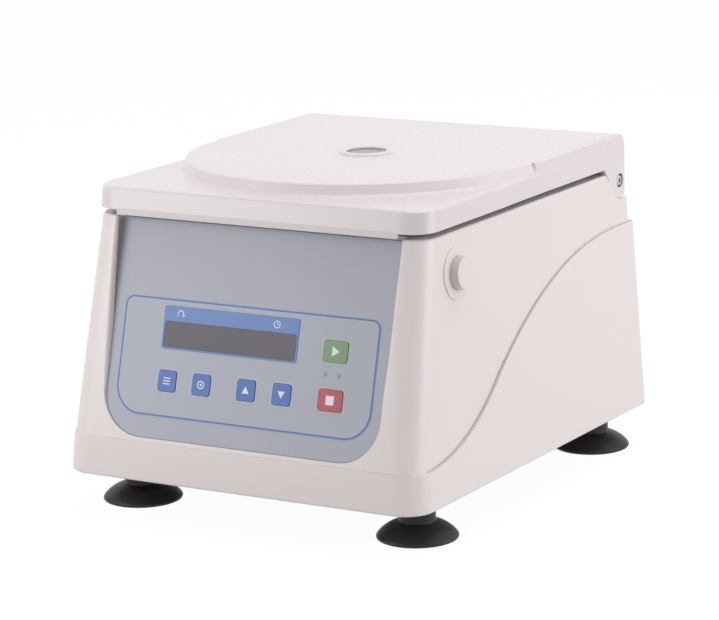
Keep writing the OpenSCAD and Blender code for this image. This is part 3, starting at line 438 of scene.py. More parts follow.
def finish(name, rgb, rough, spread=0.03, rough_spread=0.05, grain=900.0, depth=0.02, metallic=0.0,
           specular=0.5, coat=0.0, stretch=(1, 1, 1), wear=0.0, wear_rgb=None, patch=9.0):
    """A procedural finish: broad tint, fine grain, uneven gloss, and specks of wear or dust."""
    mat = bpy.data.materials.new(name)
    mat.use_nodes = True
    tree = mat.node_tree
    place = add(tree, "ShaderNodeTexCoord").outputs["Object"]
    turn = add(tree, "ShaderNodeMapping", {"Vector": place, "Scale": stretch})
    broad = add(tree, "ShaderNodeTexNoise", {"Vector": place, "Scale": patch, "Detail": 4})
    fine = add(tree, "ShaderNodeTexNoise", {"Vector": turn.outputs["Vector"], "Scale": grain,
                                            "Detail": 3}).outputs["Fac"]
    base = linear(*rgb)[:3]
    tint = add(tree, "ShaderNodeMix", {
        "Factor": broad.outputs["Fac"], "A": (*(c * (1 - spread) for c in base), 1),
        "B": (*(min(1, c * (1 + spread)) for c in base), 1)}, data_type="RGBA")
    colour = tint.outputs["Result"]
    if wear:
        specks = add(tree, "ShaderNodeTexNoise", {"Vector": place, "Scale": 260.0, "Detail": 6,
                                                  "Roughness": 0.7})
        pick = add(tree, "ShaderNodeMapRange", {"Value": specks.outputs["Fac"], "From Min": 0.62,
                                                "From Max": 0.72, "To Max": wear})
        dust = add(tree, "ShaderNodeMix", {"Factor": pick.outputs["Result"], "A": colour,
                                           "B": linear(*(wear_rgb or rgb))}, data_type="RGBA")
        colour = dust.outputs["Result"]
    gloss = add(tree, "ShaderNodeMapRange", {"Value": fine, "To Min": rough - rough_spread,
                                             "To Max": rough + rough_spread})
    bump = add(tree, "ShaderNodeBump", {"Height": fine, "Strength": 0.5, "Distance": depth * MM})
    fill(tree, tree.nodes["Principled BSDF"], {
        "Base Color": colour, "Roughness": gloss.outputs["Result"], "Normal": bump.outputs["Normal"],
        "Metallic": metallic, "Specular IOR Level": specular, "Coat Weight": coat, "Coat Roughness": 0.15})
    return mat


def printed(name, *rgb):
    """A printed film colour on the keypad."""
    return finish(name, rgb, 0.4, spread=0.05, grain=500)


CASE = finish("case_white", (231, 224, 223), 0.33, spread=0.012, depth=0.012, wear=0.12,
              wear_rgb=(214, 206, 202))
LID = finish("lid_white", (226, 219, 219), 0.26, spread=0.012, depth=0.008, wear=0.1,
             wear_rgb=(220, 212, 212))
# Painted shade: this darker grey goes on the ledge under the seam and stands for the shadow in the gap
# between the housings.
SEAM_SHADE = finish("seam_painted_shade", (206, 200, 198), 0.6, spread=0.05, wear=0.3, wear_rgb=(190, 184, 182))
LINER = finish("liner_grey", (205, 205, 208), 0.5, depth=0.04)
PANEL = finish("panel_grey", (172, 175, 187), 0.45, spread=0.02, wear=0.15, wear_rgb=(186, 188, 196))
FILM = finish("film_grey", (171, 175, 187), 0.42, spread=0.02, wear=0.15, wear_rgb=(186, 188, 196))
BLUE, KEY_BLUE = printed("film_blue", 96, 131, 192), printed("key_blue", 70, 108, 180)
GREEN, RED = printed("film_green", 114, 152, 116), printed("film_red", 174, 80, 90)
HALO = finish("film_pale", (206, 208, 214), 0.4, spread=0.02)
PRINT = finish("print_white", (232, 232, 236), 0.5, spread=0.02)
WINDOW = finish("window_dark", (95, 91, 100), 0.36, spread=0.12, grain=1400, rough_spread=0.08,
                specular=0.3)
LAMP = finish("lamp_red", (168, 152, 147), 0.3, spread=0.05)
RUBBER = finish("rubber_black", (38, 36, 37), 0.42, spread=0.1, grain=700, depth=0.03, wear=0.2,
                wear_rgb=(52, 50, 52), specular=0.3)
BLACK = finish("plastic_black", (36, 36, 38), 0.4, spread=0.1, grain=800, depth=0.03)
BUTTON = finish("button_white", (230, 223, 222), 0.33, spread=0.012)
# Painted shade: a greyer copy of the button's white, put on the button's side wall for the shade that falls
# there.
BUTTON_WALL_SHADE = finish("button_wall_painted_shade", (210, 204, 203), 0.45, spread=0.02)
ZINC = finish("zinc_plate", (196, 197, 200), 0.34, spread=0.08, metallic=1, grain=300, patch=60,
              depth=0.01)
STEEL = finish("ground_steel", (208, 208, 212), 0.22, spread=0.04, metallic=1, grain=500,
               stretch=(1, 1, 14))
ALU = finish("satin_aluminium", (206, 208, 212), 0.36, spread=0.04, metallic=1, grain=700,
             stretch=(1, 9, 1))
BOARD = finish("board_green", (38, 96, 62), 0.3, spread=0.1, grain=600, patch=120, coat=0.3)
PAINT = finish("motor_paint", (88, 90, 94), 0.4, spread=0.06, grain=500, depth=0.05)
COPPER = finish("copper_wire", (186, 118, 74), 0.32, spread=0.15, metallic=1, grain=1500,
                stretch=(1, 1, 6))


def clear(name, rgb):
    """Clear moulded acrylic: thin, a little grey, with faint ripples."""
    mat = bpy.data.materials.new(name)
    mat.use_nodes = True
    tree = mat.node_tree
    place = add(tree, "ShaderNodeTexCoord").outputs["Object"]
    ripple = add(tree, "ShaderNodeTexNoise", {"Vector": place, "Scale": 60.0}).outputs["Fac"]
    tint = add(tree, "ShaderNodeMix", {"Factor": ripple, "A": linear(*rgb),
                                       "B": linear(*(min(255, c + 8) for c in rgb))}, data_type="RGBA")
    gloss = add(tree, "ShaderNodeMapRange", {"Value": ripple, "To Min": 0.05, "To Max": 0.16})
    fill(tree, tree.nodes["Principled BSDF"], {
        "Base Color": tint.outputs["Result"], "Roughness": gloss.outputs["Result"],
        "Transmission Weight": 0.9, "IOR": 1.49})
    return mat


LENS = clear("clear_acrylic", (196, 196, 192))
print("finishes:", len(bpy.data.materials))

# %% [markdown]
# The lower housing is one thin tray. Its outline is walked round at each height, and its top edge
# follows the swept seam, so the whole shell is one grid of four-sided faces: up the outside, over
# the rounded edge and down the inside to the floor.

# %% Lower housing
BOTTOM_R, FLOOR_T = 2.4, 3


def low_plan(z, inset):
    return plan(low_hw(z) - inset, low_front(z) + inset, low_rear(z) - inset,
                FRONT_R - inset, REAR_R - inset)


def up_plan(z, inset):
    return plan(up_hw(z) - inset, up_front(z) + inset, up_rear(z) - inset,
                FRONT_R - inset, REAR_R - inset, CORNER_POWER)


def ring_at(outline, inset, height):
    """One ring whose height is a function of depth; each point finds its own place on the slope."""
    start = outline(height(0), inset)
    points = []
    for k in range(len(start)):
        y = start[k][1]
        for _ in range(3):
            z = height(y)
            x, y = outline(z, inset)[k]
        points.append((x, y, z))
    return points


def edge_r(y):
    """Radius of the tray's top edge: soft along the sides, almost none across the front."""
    return 0.5 + 0.5 * min(1, max(0, (y + 195) / 15))


def lower_rings():
    r, lip = BOTTOM_R, 0.4
    rings = [ring_at(low_plan, r * (1 - s), lambda y: CASE_Z + r * (1 - c))
             for s, c in sin_cos(0, 22, 45, 67, 90)]
    rings.append(ring_at(low_plan, 0, lambda y: CASE_Z + 0.5 * (seam_z(y) - CASE_Z)))
    for s, c in sin_cos(0, 30, 60, 90):
        rings.append(ring_at(low_plan, 0.8 * (1 - c), lambda y: seam_z(y) - edge_r(y) * (1 - s)))
    rings.append(ring_at(low_plan, LOW_WALL - lip, seam_z))
    rings.append(ring_at(low_plan, LOW_WALL, lambda y: seam_z(y) - lip))
    rings.append(ring_at(low_plan, LOW_WALL, lambda y: CASE_Z + FLOOR_T))
    return rings


lower = loft("lower_shell", lower_rings(), strip_low=True, strip_high=True)
print("lower tray:", len(lower.data.polygons), "faces")

# %% [markdown]
# Cooling slots in the floor repeat on a grid, so Geometry Nodes make them: a grid of points, one
# slot on each point. The result is made a plain mesh and used as a cutter.

# %% Floor slots, foot holes and the rear opening
SLOTS = {"Columns": 5, "Rows": 11, "Pitch across": 24.0 * MM, "Pitch along": 10.0 * MM,
         "Slot length": 18.0 * MM, "Slot width": 4.0 * MM, "Slot depth": 8.0 * MM}


def slot_grid(values):
    """A Geometry Nodes tree that sets one block on each point of a grid."""
    group = bpy.data.node_groups.new("slot_grid", "GeometryNodeTree")
    sockets = {}
    for label, value in values.items():
        kind = "NodeSocketInt" if isinstance(value, int) else "NodeSocketFloat"
        sockets[label] = group.interface.new_socket(label, in_out="INPUT", socket_type=kind).identifier
    group.interface.new_socket("Mesh", in_out="OUTPUT", socket_type="NodeSocketGeometry")
    given = add(group, "NodeGroupInput").outputs
    spans = {}
    for label, count, pitch in (("Size X", "Columns", "Pitch across"), ("Size Y", "Rows", "Pitch along")):
        less = add(group, "ShaderNodeMath", {0: given[count], 1: 1}, operation="SUBTRACT")
        spans[label] = add(group, "ShaderNodeMath", {0: less.outputs[0], 1: given[pitch]},
                           operation="MULTIPLY").outputs[0]
    grid = add(group, "GeometryNodeMeshGrid", {"Vertices X": given["Columns"],
                                               "Vertices Y": given["Rows"], **spans})
    size = add(group, "ShaderNodeCombineXYZ", {"X": given["Slot length"], "Y": given["Slot width"],
                                               "Z": given["Slot depth"]})
    block = add(group, "GeometryNodeMeshCube", {"Size": size.outputs[0]})
    placed = add(group, "GeometryNodeInstanceOnPoints", {"Points": grid.outputs["Mesh"],
                                                         "Instance": block.outputs["Mesh"]})
    solid = add(group, "GeometryNodeRealizeInstances", {"Geometry": placed.outputs["Instances"]})
    coat = add(group, "GeometryNodeSetMaterial", {"Geometry": solid.outputs["Geometry"],
                                                  "Material": CASE})
    add(group, "NodeGroupOutput", {0: coat.outputs["Geometry"]})
    return group, {sockets[k]: v for k, v in values.items()}


def made_by_nodes(name, group, values, at):
    """Runs a tree on an empty mesh and keeps the plain result, in metres."""
    obj = in_scene(name, bpy.data.meshes.new(name))
    mod = obj.modifiers.new("nodes", "NODES")
    mod.node_group = group
    for key, value in values.items():
        mod[key] = value
    flatten(obj)
    obj.data.transform(at)
    return obj


slots = made_by_nodes("floor_slots", *slot_grid(SLOTS),
                      at=Matrix.Translation(Vector((9, ROTOR_Y, CASE_Z + 1)) * MM))
print("slots:", len(slots.data.polygons) // 6)
carve(lower, slots)
FOOT_XY = [(x, y) for y in (-141.5, 170.5) for x in (-132.3, 132.3)]
for x, y in FOOT_XY:
    carve(lower, turned("hole", [(3.2, 20), (3.2, 60)], Matrix.Translation((x, y, 0)), n=24))
REAR_TILT = math.atan(REAR_LEAN / (DECK_Z - CASE_Z))


def on_rear(x):
    """Frame on the rear face with its z outwards, as the mains pieces lie in it."""
    z = CASE_Z + 42
    return (Matrix.Translation((x, low_rear(z), z)) @ Matrix.Rotation(-math.pi / 2 + REAR_TILT, 4, "X")
            @ Matrix.Rotation(math.pi, 4, "Z"))


REAR_HOLE, REAR_HOLE_X = round_rect(0, 0, 108, 36, 3), 80
carve(lower, loft("rear_cut", [[(x, y, z) for x, y in grow(REAR_HOLE, g)] for z, g in (
    (-8, 0), (-0.8, 0), (-0.25, 0.25), (0.05, 0.8), (3, 4))], at=on_rear(REAR_HOLE_X)))
settle(lower, "case", "case_plastic", CASE, "lower_housing")
# The narrow ledge under the seam is painted a little greyer: painted shade for the shadow in the gap between
# the housings.
LEDGE_FRONT_Y, LEDGE_W, LEDGE_NEAR = -192.0, 2.5, 0.35
lower.data.materials.append(SEAM_SHADE)
ledge = [p for p in lower.data.polygons if p.normal.z > 0.3 and p.center.y > LEDGE_FRONT_Y * MM
         and abs(p.center.z / MM - seam_z(p.center.y / MM)) < LEDGE_NEAR
         and abs(p.center.x) / MM > low_hw(p.center.z / MM) - LEDGE_W]
for p in ledge:
    p.material_index = 1
print("ledge faces:", len(ledge))

# %% [markdown]
# The upper housing is a solid with a rounded top edge, hollowed by a second, smaller one. Before
# it hollows, the inner solid itself is cut back round the panel and the lid's trough, so those
# keep a wall behind them. The panel's opening widens towards the top, so the block behind it is
# wider still. A thin slot beside the panel's left edge stays open and dark.

# %% Upper housing
DECK_R, OPENING_ROOM, CHEEK_SKIM, BEYOND = 1.8, 4.5, 0.12, 200


def up_foot(y):
    """The hidden lower edge: under the seam along the sides, just above it across the front."""
    t = min(1, max(0, (y + 180) / 8))
    return (1 - t) * (SEAM_LOW + 0.06) + t * (seam_z(y) - LIP_H)


def upper_rings(inset, top, r):
    low = (lambda y: up_foot(y) - (20 if inset else 0))
    rings = [ring_at(up_plan, inset, low)]
    for part in (0.33, 0.66):
        rings.append(ring_at(up_plan, inset, lambda y: low(y) + part * (top - 4 - low(y))))
    for s, c in turning(0, 90, 5) if r else sin_cos(0):
        rings.append(ring_at(up_plan, inset + r * (1 - c), lambda y: top - r * (1 - s)))
    return rings


def panel_outline(g, n=20):
    """The front panel's outline, grown by g."""
    w, d, r = PANEL_HW, PANEL_DOWN, PANEL_R
    return ([(w + g, PANEL_UP), (-w - g, PANEL_UP)] + arc(-w + r, -d + r, r + g, 180, 270, n)
            + arc(w - r, -d + r, r + g, 270, 360, n))


def panel_prism(name, g, z0, z1):
    return loft(name, [[(x, y, z) for x, y in panel_outline(g)] for z in (z0, z1)], at=ON_PANEL)


def face_over_panel(y):
    """How far the front face stands before the panel's plane, at panel height y."""
    p0 = ON_PANEL @ Vector((0, y, 0))
    out_dir = ON_PANEL.to_3x3() @ Vector((0, 0, 1))
    slope = FRONT_LEAN / (DECK_Z - SEAM_LOW)
    return (up_front(p0.z) - p0.y) / (out_dir.y - slope * out_dir.z)


def ease(t):
    """A smooth step from 0 to 1."""
    t = min(1, max(0, t))
    return t * t * (3 - 2 * t)


def opening_hw(s, y):
    """Half width of the panel's opening: it opens a little towards the top, more on the right."""
    if s < 0:
        return PANEL_HW + 0.5 + 1.7 * ease((y + 40) / 100)
    return PANEL_HW + 0.3 + 2.1 * ease((y + 40) / 60) + 1.9 * ease((y - 10) / 110)


def opening_points(n=20, m=12):
    """Points of the opening with their outward directions, counter-clockwise from the top right."""
    out = []
    foot_y = -PANEL_DOWN + PANEL_R
    side = [PANEL_UP + (foot_y - PANEL_UP) * i / m for i in range(m)]
    for y in side:
        out.append((-opening_hw(-1, y), y, -1, 0))
    for hand, a0 in ((-1, 180), (1, 270)):
        for s, c in turning(a0, a0 + 90, n):
            y = foot_y + PANEL_R * s
            shift = (opening_hw(hand, y) - PANEL_HW) * max(0, c * hand)
            out.append((hand * (PANEL_HW - PANEL_R + shift) + PANEL_R * c, y, c, s))
    for y in reversed(side):
        out.append((opening_hw(1, y), y, 1, 0))
    return out


SLOT_FROM, SLOT_RISE = 14.0, 0.083


def slot_h(y):
    """Height over the panel of the open slot beside its left edge."""
    return 0.15 + SLOT_RISE * max(0, y - SLOT_FROM)


def panel_cutter():
    """The panel's opening, whose edge rounds off to the front face, more where it is deeper."""
    points = opening_points()

    def ring(sine, cosine, extra=0.0, top=None):
        out = []
        for x, y, nx, ny in points:
            h = face_over_panel(y)
            r = min(0.55 * h, 6.0 if x > 0 else 2.6)
            g = r * (1 - cosine) + extra * sine
            z = h - r + r * sine + extra * cosine if top is None else top
            out.append((x + nx * g, y + ny * g, z))
        return out

    edge = sin_cos(0, 15, 30, 45, 60, 72)
    rings = [[(x, y, -PANEL_T) for x, y, _, _ in points]] + [ring(*pair) for pair in edge]
    rings += [ring(*edge[-1], 4.0), ring(*edge[-1], 4.0, 60)]
    return loft("panel_cut", rings, at=ON_PANEL)


def side_prism(name, outline, x0, x1):
    """A prism across the case from points (y, z)."""
    return loft(name, [[(x, y, z) for y, z in outline] for x in (x0, x1)])


def trough(g=0.0):
    """Section of the trough for the lid's rear edge, as (y, z) points."""
    r = CHEEK_R + CHEEK_GAP + g
    return (arc(HINGE_Y, HINGE_Z, r, 180, 270, 16) + [(260, HINGE_Z - r), (260, 300), (HINGE_Y - r, 300)])


def cheek_cut(g=0.0):
    """The same trough with the long slope that clears the lid's cheeks."""
    r, front = CHEEK_R + CHEEK_SKIM + g, HINGE_Y - 32 - g
    return (arc(HINGE_Y, HINGE_Z, r, 205, 270, 14)
            + [(260, HINGE_Z - r), (260, 300), (front, 300), (front, LID_Z)])


upper = loft("upper_shell", upper_rings(0, DECK_Z, DECK_R), strip_low=True)
cavity = loft("cavity", upper_rings(WALL, DECK_Z - WALL, 0), strip_low=True)
carve(cavity, panel_prism("block", WALL + OPENING_ROOM, -PANEL_T - WALL, 60))
carve(cavity, side_prism("block", trough(WALL), -BEYOND, BEYOND))
for s in (-1, 1):
    carve(cavity, side_prism("block", cheek_cut(WALL), s * (CHEEK_IN - 1 - WALL), s * BEYOND))
carve(upper, cavity)
carve(upper, panel_prism("back", -2 * WALL, -60, 60))
carve(upper, panel_cutter())
carve(upper, side_prism("trough", trough(), -BEYOND, BEYOND))
for s in (-1, 1):
    carve(upper, side_prism("cheek", cheek_cut(), s * (CHEEK_IN - 1), s * BEYOND))
NOTCH_Y = PANEL_Y + (DECK_Z - PANEL_Z) * math.tan(PANEL_TILT) + WALL
NOTCH = [(-130, -400), (130, -400), (130, NOTCH_Y), (-130, NOTCH_Y)]
carve(upper, slab("notch", NOTCH, DECK_Z - NOTCH_H, DECK_Z + 40))
DECK_HOLE = [(136, 215), (136, 244.4), (136.15, 245.1), (136.6, 245.75), (137.3, 246.02),
             (139.5, 246.6), (139.5, 260)]
carve(upper, turned("deck_hole", DECK_HOLE, AT_ROTOR, n=128))
carve(upper, slab("striker_slot", round_rect(0, -139, 6.5, 16, 2), 238, 260))
carve(upper, turned("button_hole", [(16, -7), (16, 8)], ON_BUTTON, n=64))
SLOT_END = PANEL_UP + 4
slot_side = [(SLOT_FROM, -1), (SLOT_END, -1), (SLOT_END, slot_h(SLOT_END)),
             (SLOT_FROM, slot_h(SLOT_FROM))]
carve(upper, loft("panel_slot", [[(x, y, z) for y, z in slot_side] for x in (-141, -131)], at=ON_PANEL))
settle(upper, "case", "case_plastic", CASE, "upper_housing")

# %% [markdown]
# The lid is three shapes in one moulding: a low tray, a round raised top with a soft foot, and a
# raised rear block. The raised part is one loft: its front half is the round wall, its rear half
# the block's sides, and each ring carries both profiles at once.

# %% Lid shell
TRAY_DRAFT_LOW, TRAY_DRAFT_TOP = 1.4, 1.4


def tray_ring(e, z, draft):
    """The tray's outline. Its front leans in by the draft; the sides by the hinge stay upright."""
    out = []
    for x, y in plan(LID_HW - e, LID_FRONT + e, LID_REAR - e, FRONT_R - e, max(0.4, LID_REAR_R - e),
                     CORNER_POWER):
        d = draft * (1 - ease((y + (60 if draft > 0 else 0)) / 100))
        out.append((x + math.copysign(d * ease(abs(x) / 120), x), y - d * (1 - ease((y + 150) / 100)), z))
    return out


def tray_rings(inset, z0, z1, r_low, r_high):
    def at(e, z):
        t = min(1, max(0, (z - LID_Z) / (LID_LOW - LID_Z)))
        return tray_ring(inset + e, z, 0 if inset else TRAY_DRAFT_LOW * (1 - t) - TRAY_DRAFT_TOP * t)

    low = turning(0, 90, 2) if r_low else sin_cos(90)
    high = turning(0, 90, 5) if r_high else sin_cos(0)
    return ([at(r_low * (1 - s), z0 + r_low * (1 - c)) for s, c in low]
            + [at(r_high * (1 - c), z1 - r_high * (1 - s)) for s, c in high])


def raised_ring(radius, z_dome, e, z_side, z_rear, e_rear, limit):
    """Round front wall, then the rear block: front edge, side, rear and back again."""
    turn = math.degrees(math.asin((BLOCK_Y - ROTOR_Y) / radius))
    front = [(max(-limit, min(limit, x)), y, z_dome)
             for x, y in arc(0, ROTOR_Y, radius, -180 - turn, turn, 120)]
    hw, y0, y1 = LID_HW - e, BLOCK_Y + e, LID_REAR - e_rear
    rc, rr = 1.0, max(0.4, LID_REAR_R - e)
    right_side = [(x, y, z_side) for x, y in arc(hw - rc, y0 + rc, rc, -90, 0, 5)]
    corner = arc(hw - rr, y1 - rr, rr, 0, 90, 6)
    right_side += [(x, y, z_side + (z_rear - z_side) * i / 6) for i, (x, y) in enumerate(corner)]
    return front + right_side + [(-x, y, z) for x, y, z in reversed(right_side)]


DOME_FOOT, DOME_SHOULDER, SIDE_SHOULDER, REAR_SHOULDER = 3.2, 2.2, 2.0, 2.0
REAR_RUN, REAR_DROP, HOLLOW_REAR = 14.0, 11.0, 9.0
FOOT_R, SHOULDER_R = 155.04, 153.0


def raised_rings():
    foot_r = FOOT_R + DOME_FOOT
    foot = [(foot_r + 0.6, 262.0), (foot_r + 0.6, LID_LOW - 0.25)]
    foot += [(foot_r - DOME_FOOT * s, LID_LOW + DOME_FOOT * (1 - c)) for s, c in sin_cos(22, 45, 68, 88)]
    heights = [262.0, 264.0, 266.0, 268.0, 269.5, 271.0]
    rings = [raised_ring(r, z, 0, h, h, 0, LID_HW) for (r, z), h in zip(foot, heights)]
    for s, c in turning(0, 90, 5):
        rings.append(raised_ring(SHOULDER_R - DOME_SHOULDER * (1 - c), LID_TOP - DOME_SHOULDER * (1 - s),
                                 SIDE_SHOULDER * (1 - c), LID_TOP - SIDE_SHOULDER * (1 - s),
                                 LID_TOP - REAR_SHOULDER * (1 - s), REAR_SHOULDER * (1 - c), LID_HW))
    return rings


CHEEK_EDGE = ([(154, LID_Z)] + arc(HINGE_Y, HINGE_Z, CHEEK_R, 205, 303.2, 24)
              + [(192.95, 225.5), (192.95, 267.5), (154, 267.5)])


def at_hinge(s):
    """Frame at the hinge on one side of the lid, with its z outwards."""
    return Matrix.Translation((s * LID_HW, HINGE_Y, HINGE_Z)) @ Matrix.Rotation(s * math.pi / 2, 4, "Y")


def cheek(s, r=0.3):
    """One cheek, rounded where its rim meets the lid's side."""
    steps = ((CHEEK_IN, 0), (LID_HW - r, 0), (LID_HW - 0.5 * r, -0.13 * r),
             (LID_HW - 0.13 * r, -0.5 * r), (LID_HW, -r))
    return loft("cheek", [[(s * x, y, z) for y, z in grow(CHEEK_EDGE, g)] for x, g in steps])


lid = loft("lid_cover", tray_rings(0, LID_Z, LID_LOW, 1.0, 2.8))
join_solid(lid, loft("raised", raised_rings()))
carve(lid, loft("hollow", tray_rings(WALL, LID_Z - 8, LID_LOW - WALL, 0, 0)))
hollow_top = [raised_ring(150.0, z, WALL, z, z, HOLLOW_REAR, LID_HW - WALL)
              for z in (LID_LOW - WALL - 3, LID_TOP - WALL)]
carve(lid, loft("hollow", hollow_top))
GRIP = round_rect(0, LID_FRONT + 1.5 - TRAY_DRAFT_LOW, 264, 3, 0.8)
join_solid(lid, slab("grip", GRIP, 246.5, 252.0, r_low=0.6))
join_solid(lid, slab("rear_wall", round_rect(0, 191.4, 2 * CHEEK_IN + 4, 3, 0.4), 226, 268))
for s in (-1, 1):
    join_solid(lid, cheek(s))
sweep = [(LID_REAR - REAR_RUN * (1 - s), LID_TOP + 0.01 - REAR_DROP * (1 - c))
         for s, c in turning(0, 90, 10)]
sweep += [(LID_REAR + 5, LID_TOP - REAR_DROP), (LID_REAR + 5, 290), (LID_REAR - REAR_RUN, 290)]
carve(lid, side_prism("rear_round", sweep, -170, 170))
BOSSES = [(-140, -140), (140, -140), (-146.2, 100), (146.2, 100), (-60, 160), (60, 160)]
for x, y in BOSSES:
    roof, here = LID_TOP if y > BLOCK_Y else LID_LOW, Matrix.Translation((x, y, 0))
    join_solid(lid, turned("boss", [(4.5, 253), (4.5, roof - 1.5)], here, n=24))
    carve(lid, turned("boss_hole", [(1.55, 250), (1.55, 263.5)], here, n=16))
carve(lid, turned("port_hole", [(19.5, 245), (19.5, 290)], AT_ROTOR, n=96))
RECESS = [(6.0, -3), (6.0, -0.5), (6.1, -0.2), (6.4, 0.02), (9, 0.5), (9, 5)]
for s in (-1, 1):
    carve(lid, slab("bracket_room", round_rect(s * 134.5, 193, 17, 30, 1), 207.2, 251.2))
    carve(lid, turned("screw_recess", RECESS, at_hinge(s), n=48))
    carve(lid, turned("screw_hole", [(3.05, -40), (3.05, 2)], at_hinge(s), n=32))
settle(lid, "lid", "lid_plastic", LID, "lid_shell")

# %% [markdown]
# The lid turns on two shoulder screws. Each has a hex socket and sits on a black washer in its
# recess; a turned profile makes the screw, and a six-sided cutter the socket.

# %% Hinge screws
SCREW = [(3, 133 - LID_HW), (3, -2.4), (4.3, -2.4), (4.5, -2.2), (4.5, -0.9), (4.2, -0.5), (3.8, -0.4)]
SOCKET = [(2.4, -1.9), (2.4, 2)]
WASHER = [(3.1, -2.9), (5.8, -2.9), (5.8, -0.9), (5.5, -0.6), (4.9, -0.6), (4.7, -0.9), (4.7, -2.5),
          (3.1, -2.5)]
screws, washers = [], []
for s in (-1, 1):
    screw = turned("hinge_screw_pair", SCREW, at_hinge(s), n=48)
    screws.append(carve(screw, turned("socket", SOCKET, at_hinge(s), n=6)))
    washers.append(turned("hinge_washer_pair", WASHER, at_hinge(s), hollow=True, n=48))
settle(join_solid(*screws), NODE_BODY["hinge_screws"], "zinc_steel", ZINC, "hinge_screws")
settle(join_solid(*washers), NODE_BODY["hinge_screws"], "black_rubber", RUBBER)

# %% [markdown]
# The viewing port is a turned ring with a clear window held under its lip.

# %% Port ring and window
PORT_RING = [(PORT_R, LID_Z), (18.9, LID_Z), (18.9, 278.3), (23.5, 278.3), (23.5, 278.9), (23.2, 279.6),
             (22.4, 280.2), (21.2, 280.4), (18.4, 280.3), (17.4, 279.9), (PORT_R, 279.2), (PORT_R, 277.4),
             (15.4, 277.4), (15.4, 275.4), (PORT_R, 275.4)]
port = turned("port_rim", PORT_RING, AT_ROTOR, hollow=True)
settle(port, "lid", "lid_plastic", LID, "port_ring")
PORT_PANE = [(16.3, 277.4), (16.8, 277.6), (16.8, 278.3), (16.5, 278.6)]
window = turned("port_window", PORT_PANE, AT_ROTOR)
settle(window, "lid", "clear_window", LENS, "port_lens")

# %% [markdown]
# Front panel and keypad. The panel is a plain tilted plate; the overlay is a film on it with a
# printed blue line round its edge, a blue field above the dark window, and raised keys with a
# pale rim. Words on the real keys are left off: plain signs take their place. A shallow pocket
# in the panel under each key leaves room for its travel.

# %% Front panel and overlay
KEY_S, WIDE_W, ROW_Y, KEY_GAP, LAMP_HOLE = 17.5, 22.7, -33.6, 0.3, (3.4, 3.4, 1.69)
KEYS = {name: (x, ROW_Y, KEY_S, KEY_BLUE, "blue_film") for name, x in (
    ("key_1", -72.1), ("key_2", -39.1), ("key_up", 3.5), ("key_down", 37.0))}
KEYS["key_start"] = (82.0, 5.2, WIDE_W, GREEN, "green_film")
KEYS["key_stop"] = (82.0, ROW_Y, WIDE_W, RED, "red_film")
OVERLAY_T, KEY_TOP, KEY_POCKET, PANEL_GAP = 0.35, 1.3, 0.7, 0.3
OVERLAY_HW, OVERLAY_UP, OVERLAY_DOWN = 120.7, 33.6, 63.3
LAMPS_XY = [(81 - 6.3, -13.5), (81 + 6.3, -13.5)]
DISPLAY_X, DISPLAY_Y, WINDOW_Y = -17.2, 10.05, 4.5


def on_panel_slab(name, outline, z0, z1, edge=0.0):
    return slab(name, outline, z0, z1, r_high=edge, at=ON_PANEL)


def cut_panel(obj, z0, z1, *outline):
    """Cuts a rounded rectangle through a piece on the panel, between two heights."""
    carve(obj, on_panel_slab("cut", round_rect(*outline), z0, z1))


plate_outline = []
for x, y, nx, ny in opening_points():
    edge = abs(x) - PANEL_GAP + (1.7 * ease((y - SLOT_FROM) / 80) if x < 0 else 0)
    plate_outline.append((math.copysign(edge, x), y - PANEL_GAP * ny))
plate = on_panel_slab("front_plate", plate_outline, -PANEL_T, 0, 0.25)
cut_panel(plate, -10, 10, DISPLAY_X, DISPLAY_Y, 118.2, 26.9, 2)
for x, y, w, _, _ in KEYS.values():
    cut_panel(plate, -10, 10, x, y, w - 6, KEY_S - 6, 1)
    cut_panel(plate, -KEY_POCKET, 5, x, y, w + 2 * KEY_GAP, KEY_S + 2 * KEY_GAP, 2.7)
for x, y in LAMPS_XY:
    cut_panel(plate, -10, 10, x, y, *LAMP_HOLE)
TOP_TRIM = [(-140, -400), (140, -400), (140, 0), (-140, 0)]
carve(plate, slab("top_trim", TOP_TRIM, DECK_Z - NOTCH_H - PANEL_GAP, DECK_Z + 20))
settle(plate, "case", "panel_plastic", PANEL, "front_panel")


def overlay_outline(g=0.0):
    """The film's outline: small radii above, large ones below. Runs counter-clockwise."""
    x, up, down = OVERLAY_HW - 8, OVERLAY_UP - 8, 24 - OVERLAY_DOWN
    wide = OVERLAY_HW - 24
    return (arc(x, up, 8 + g, 0, 90, 10) + arc(-x, up, 8 + g, 90, 180, 10)
            + arc(-wide, down, 24 + g, 180, 270, 16) + arc(wide, down, 24 + g, 270, 360, 16))


film = on_panel_slab("keypad_film", overlay_outline(), 0, OVERLAY_T, 0.15)
cut_panel(film, -1, 5, DISPLAY_X, DISPLAY_Y, 128.8, 35.5, 1)
for x, y, w, _, _ in KEYS.values():
    cut_panel(film, -1, 5, x, y, w + 2 * KEY_GAP, KEY_S + 2 * KEY_GAP, 2.7)
for x, y in LAMPS_XY:
    cut_panel(film, -1, 5, x, y, *LAMP_HOLE)
settle(film, "case", "overlay_film", FILM, "keypad_overlay")


def band(name, outer, inner, z0, z1):
    """A thin flat band between two outlines with equally many points."""
    rings = [[(x, y, z) for x, y in outline]
             for outline, z in ((outer, z0), (inner, z0), (inner, z1), (outer, z1))]
    return loft(name, rings, at=ON_PANEL, hollow=True)


line = band("keypad_line", overlay_outline(-0.35), overlay_outline(-1.7),
            OVERLAY_T - 0.1, OVERLAY_T + 0.04)
settle(line, "case", "blue_film", KEY_BLUE, weighted=False)

# %% [markdown]
# The display frame is a blue field with a rounded opening, and the dark window lies a little
# below it. Two plain signs, a turning arrow and a clock face, mark speed and time.

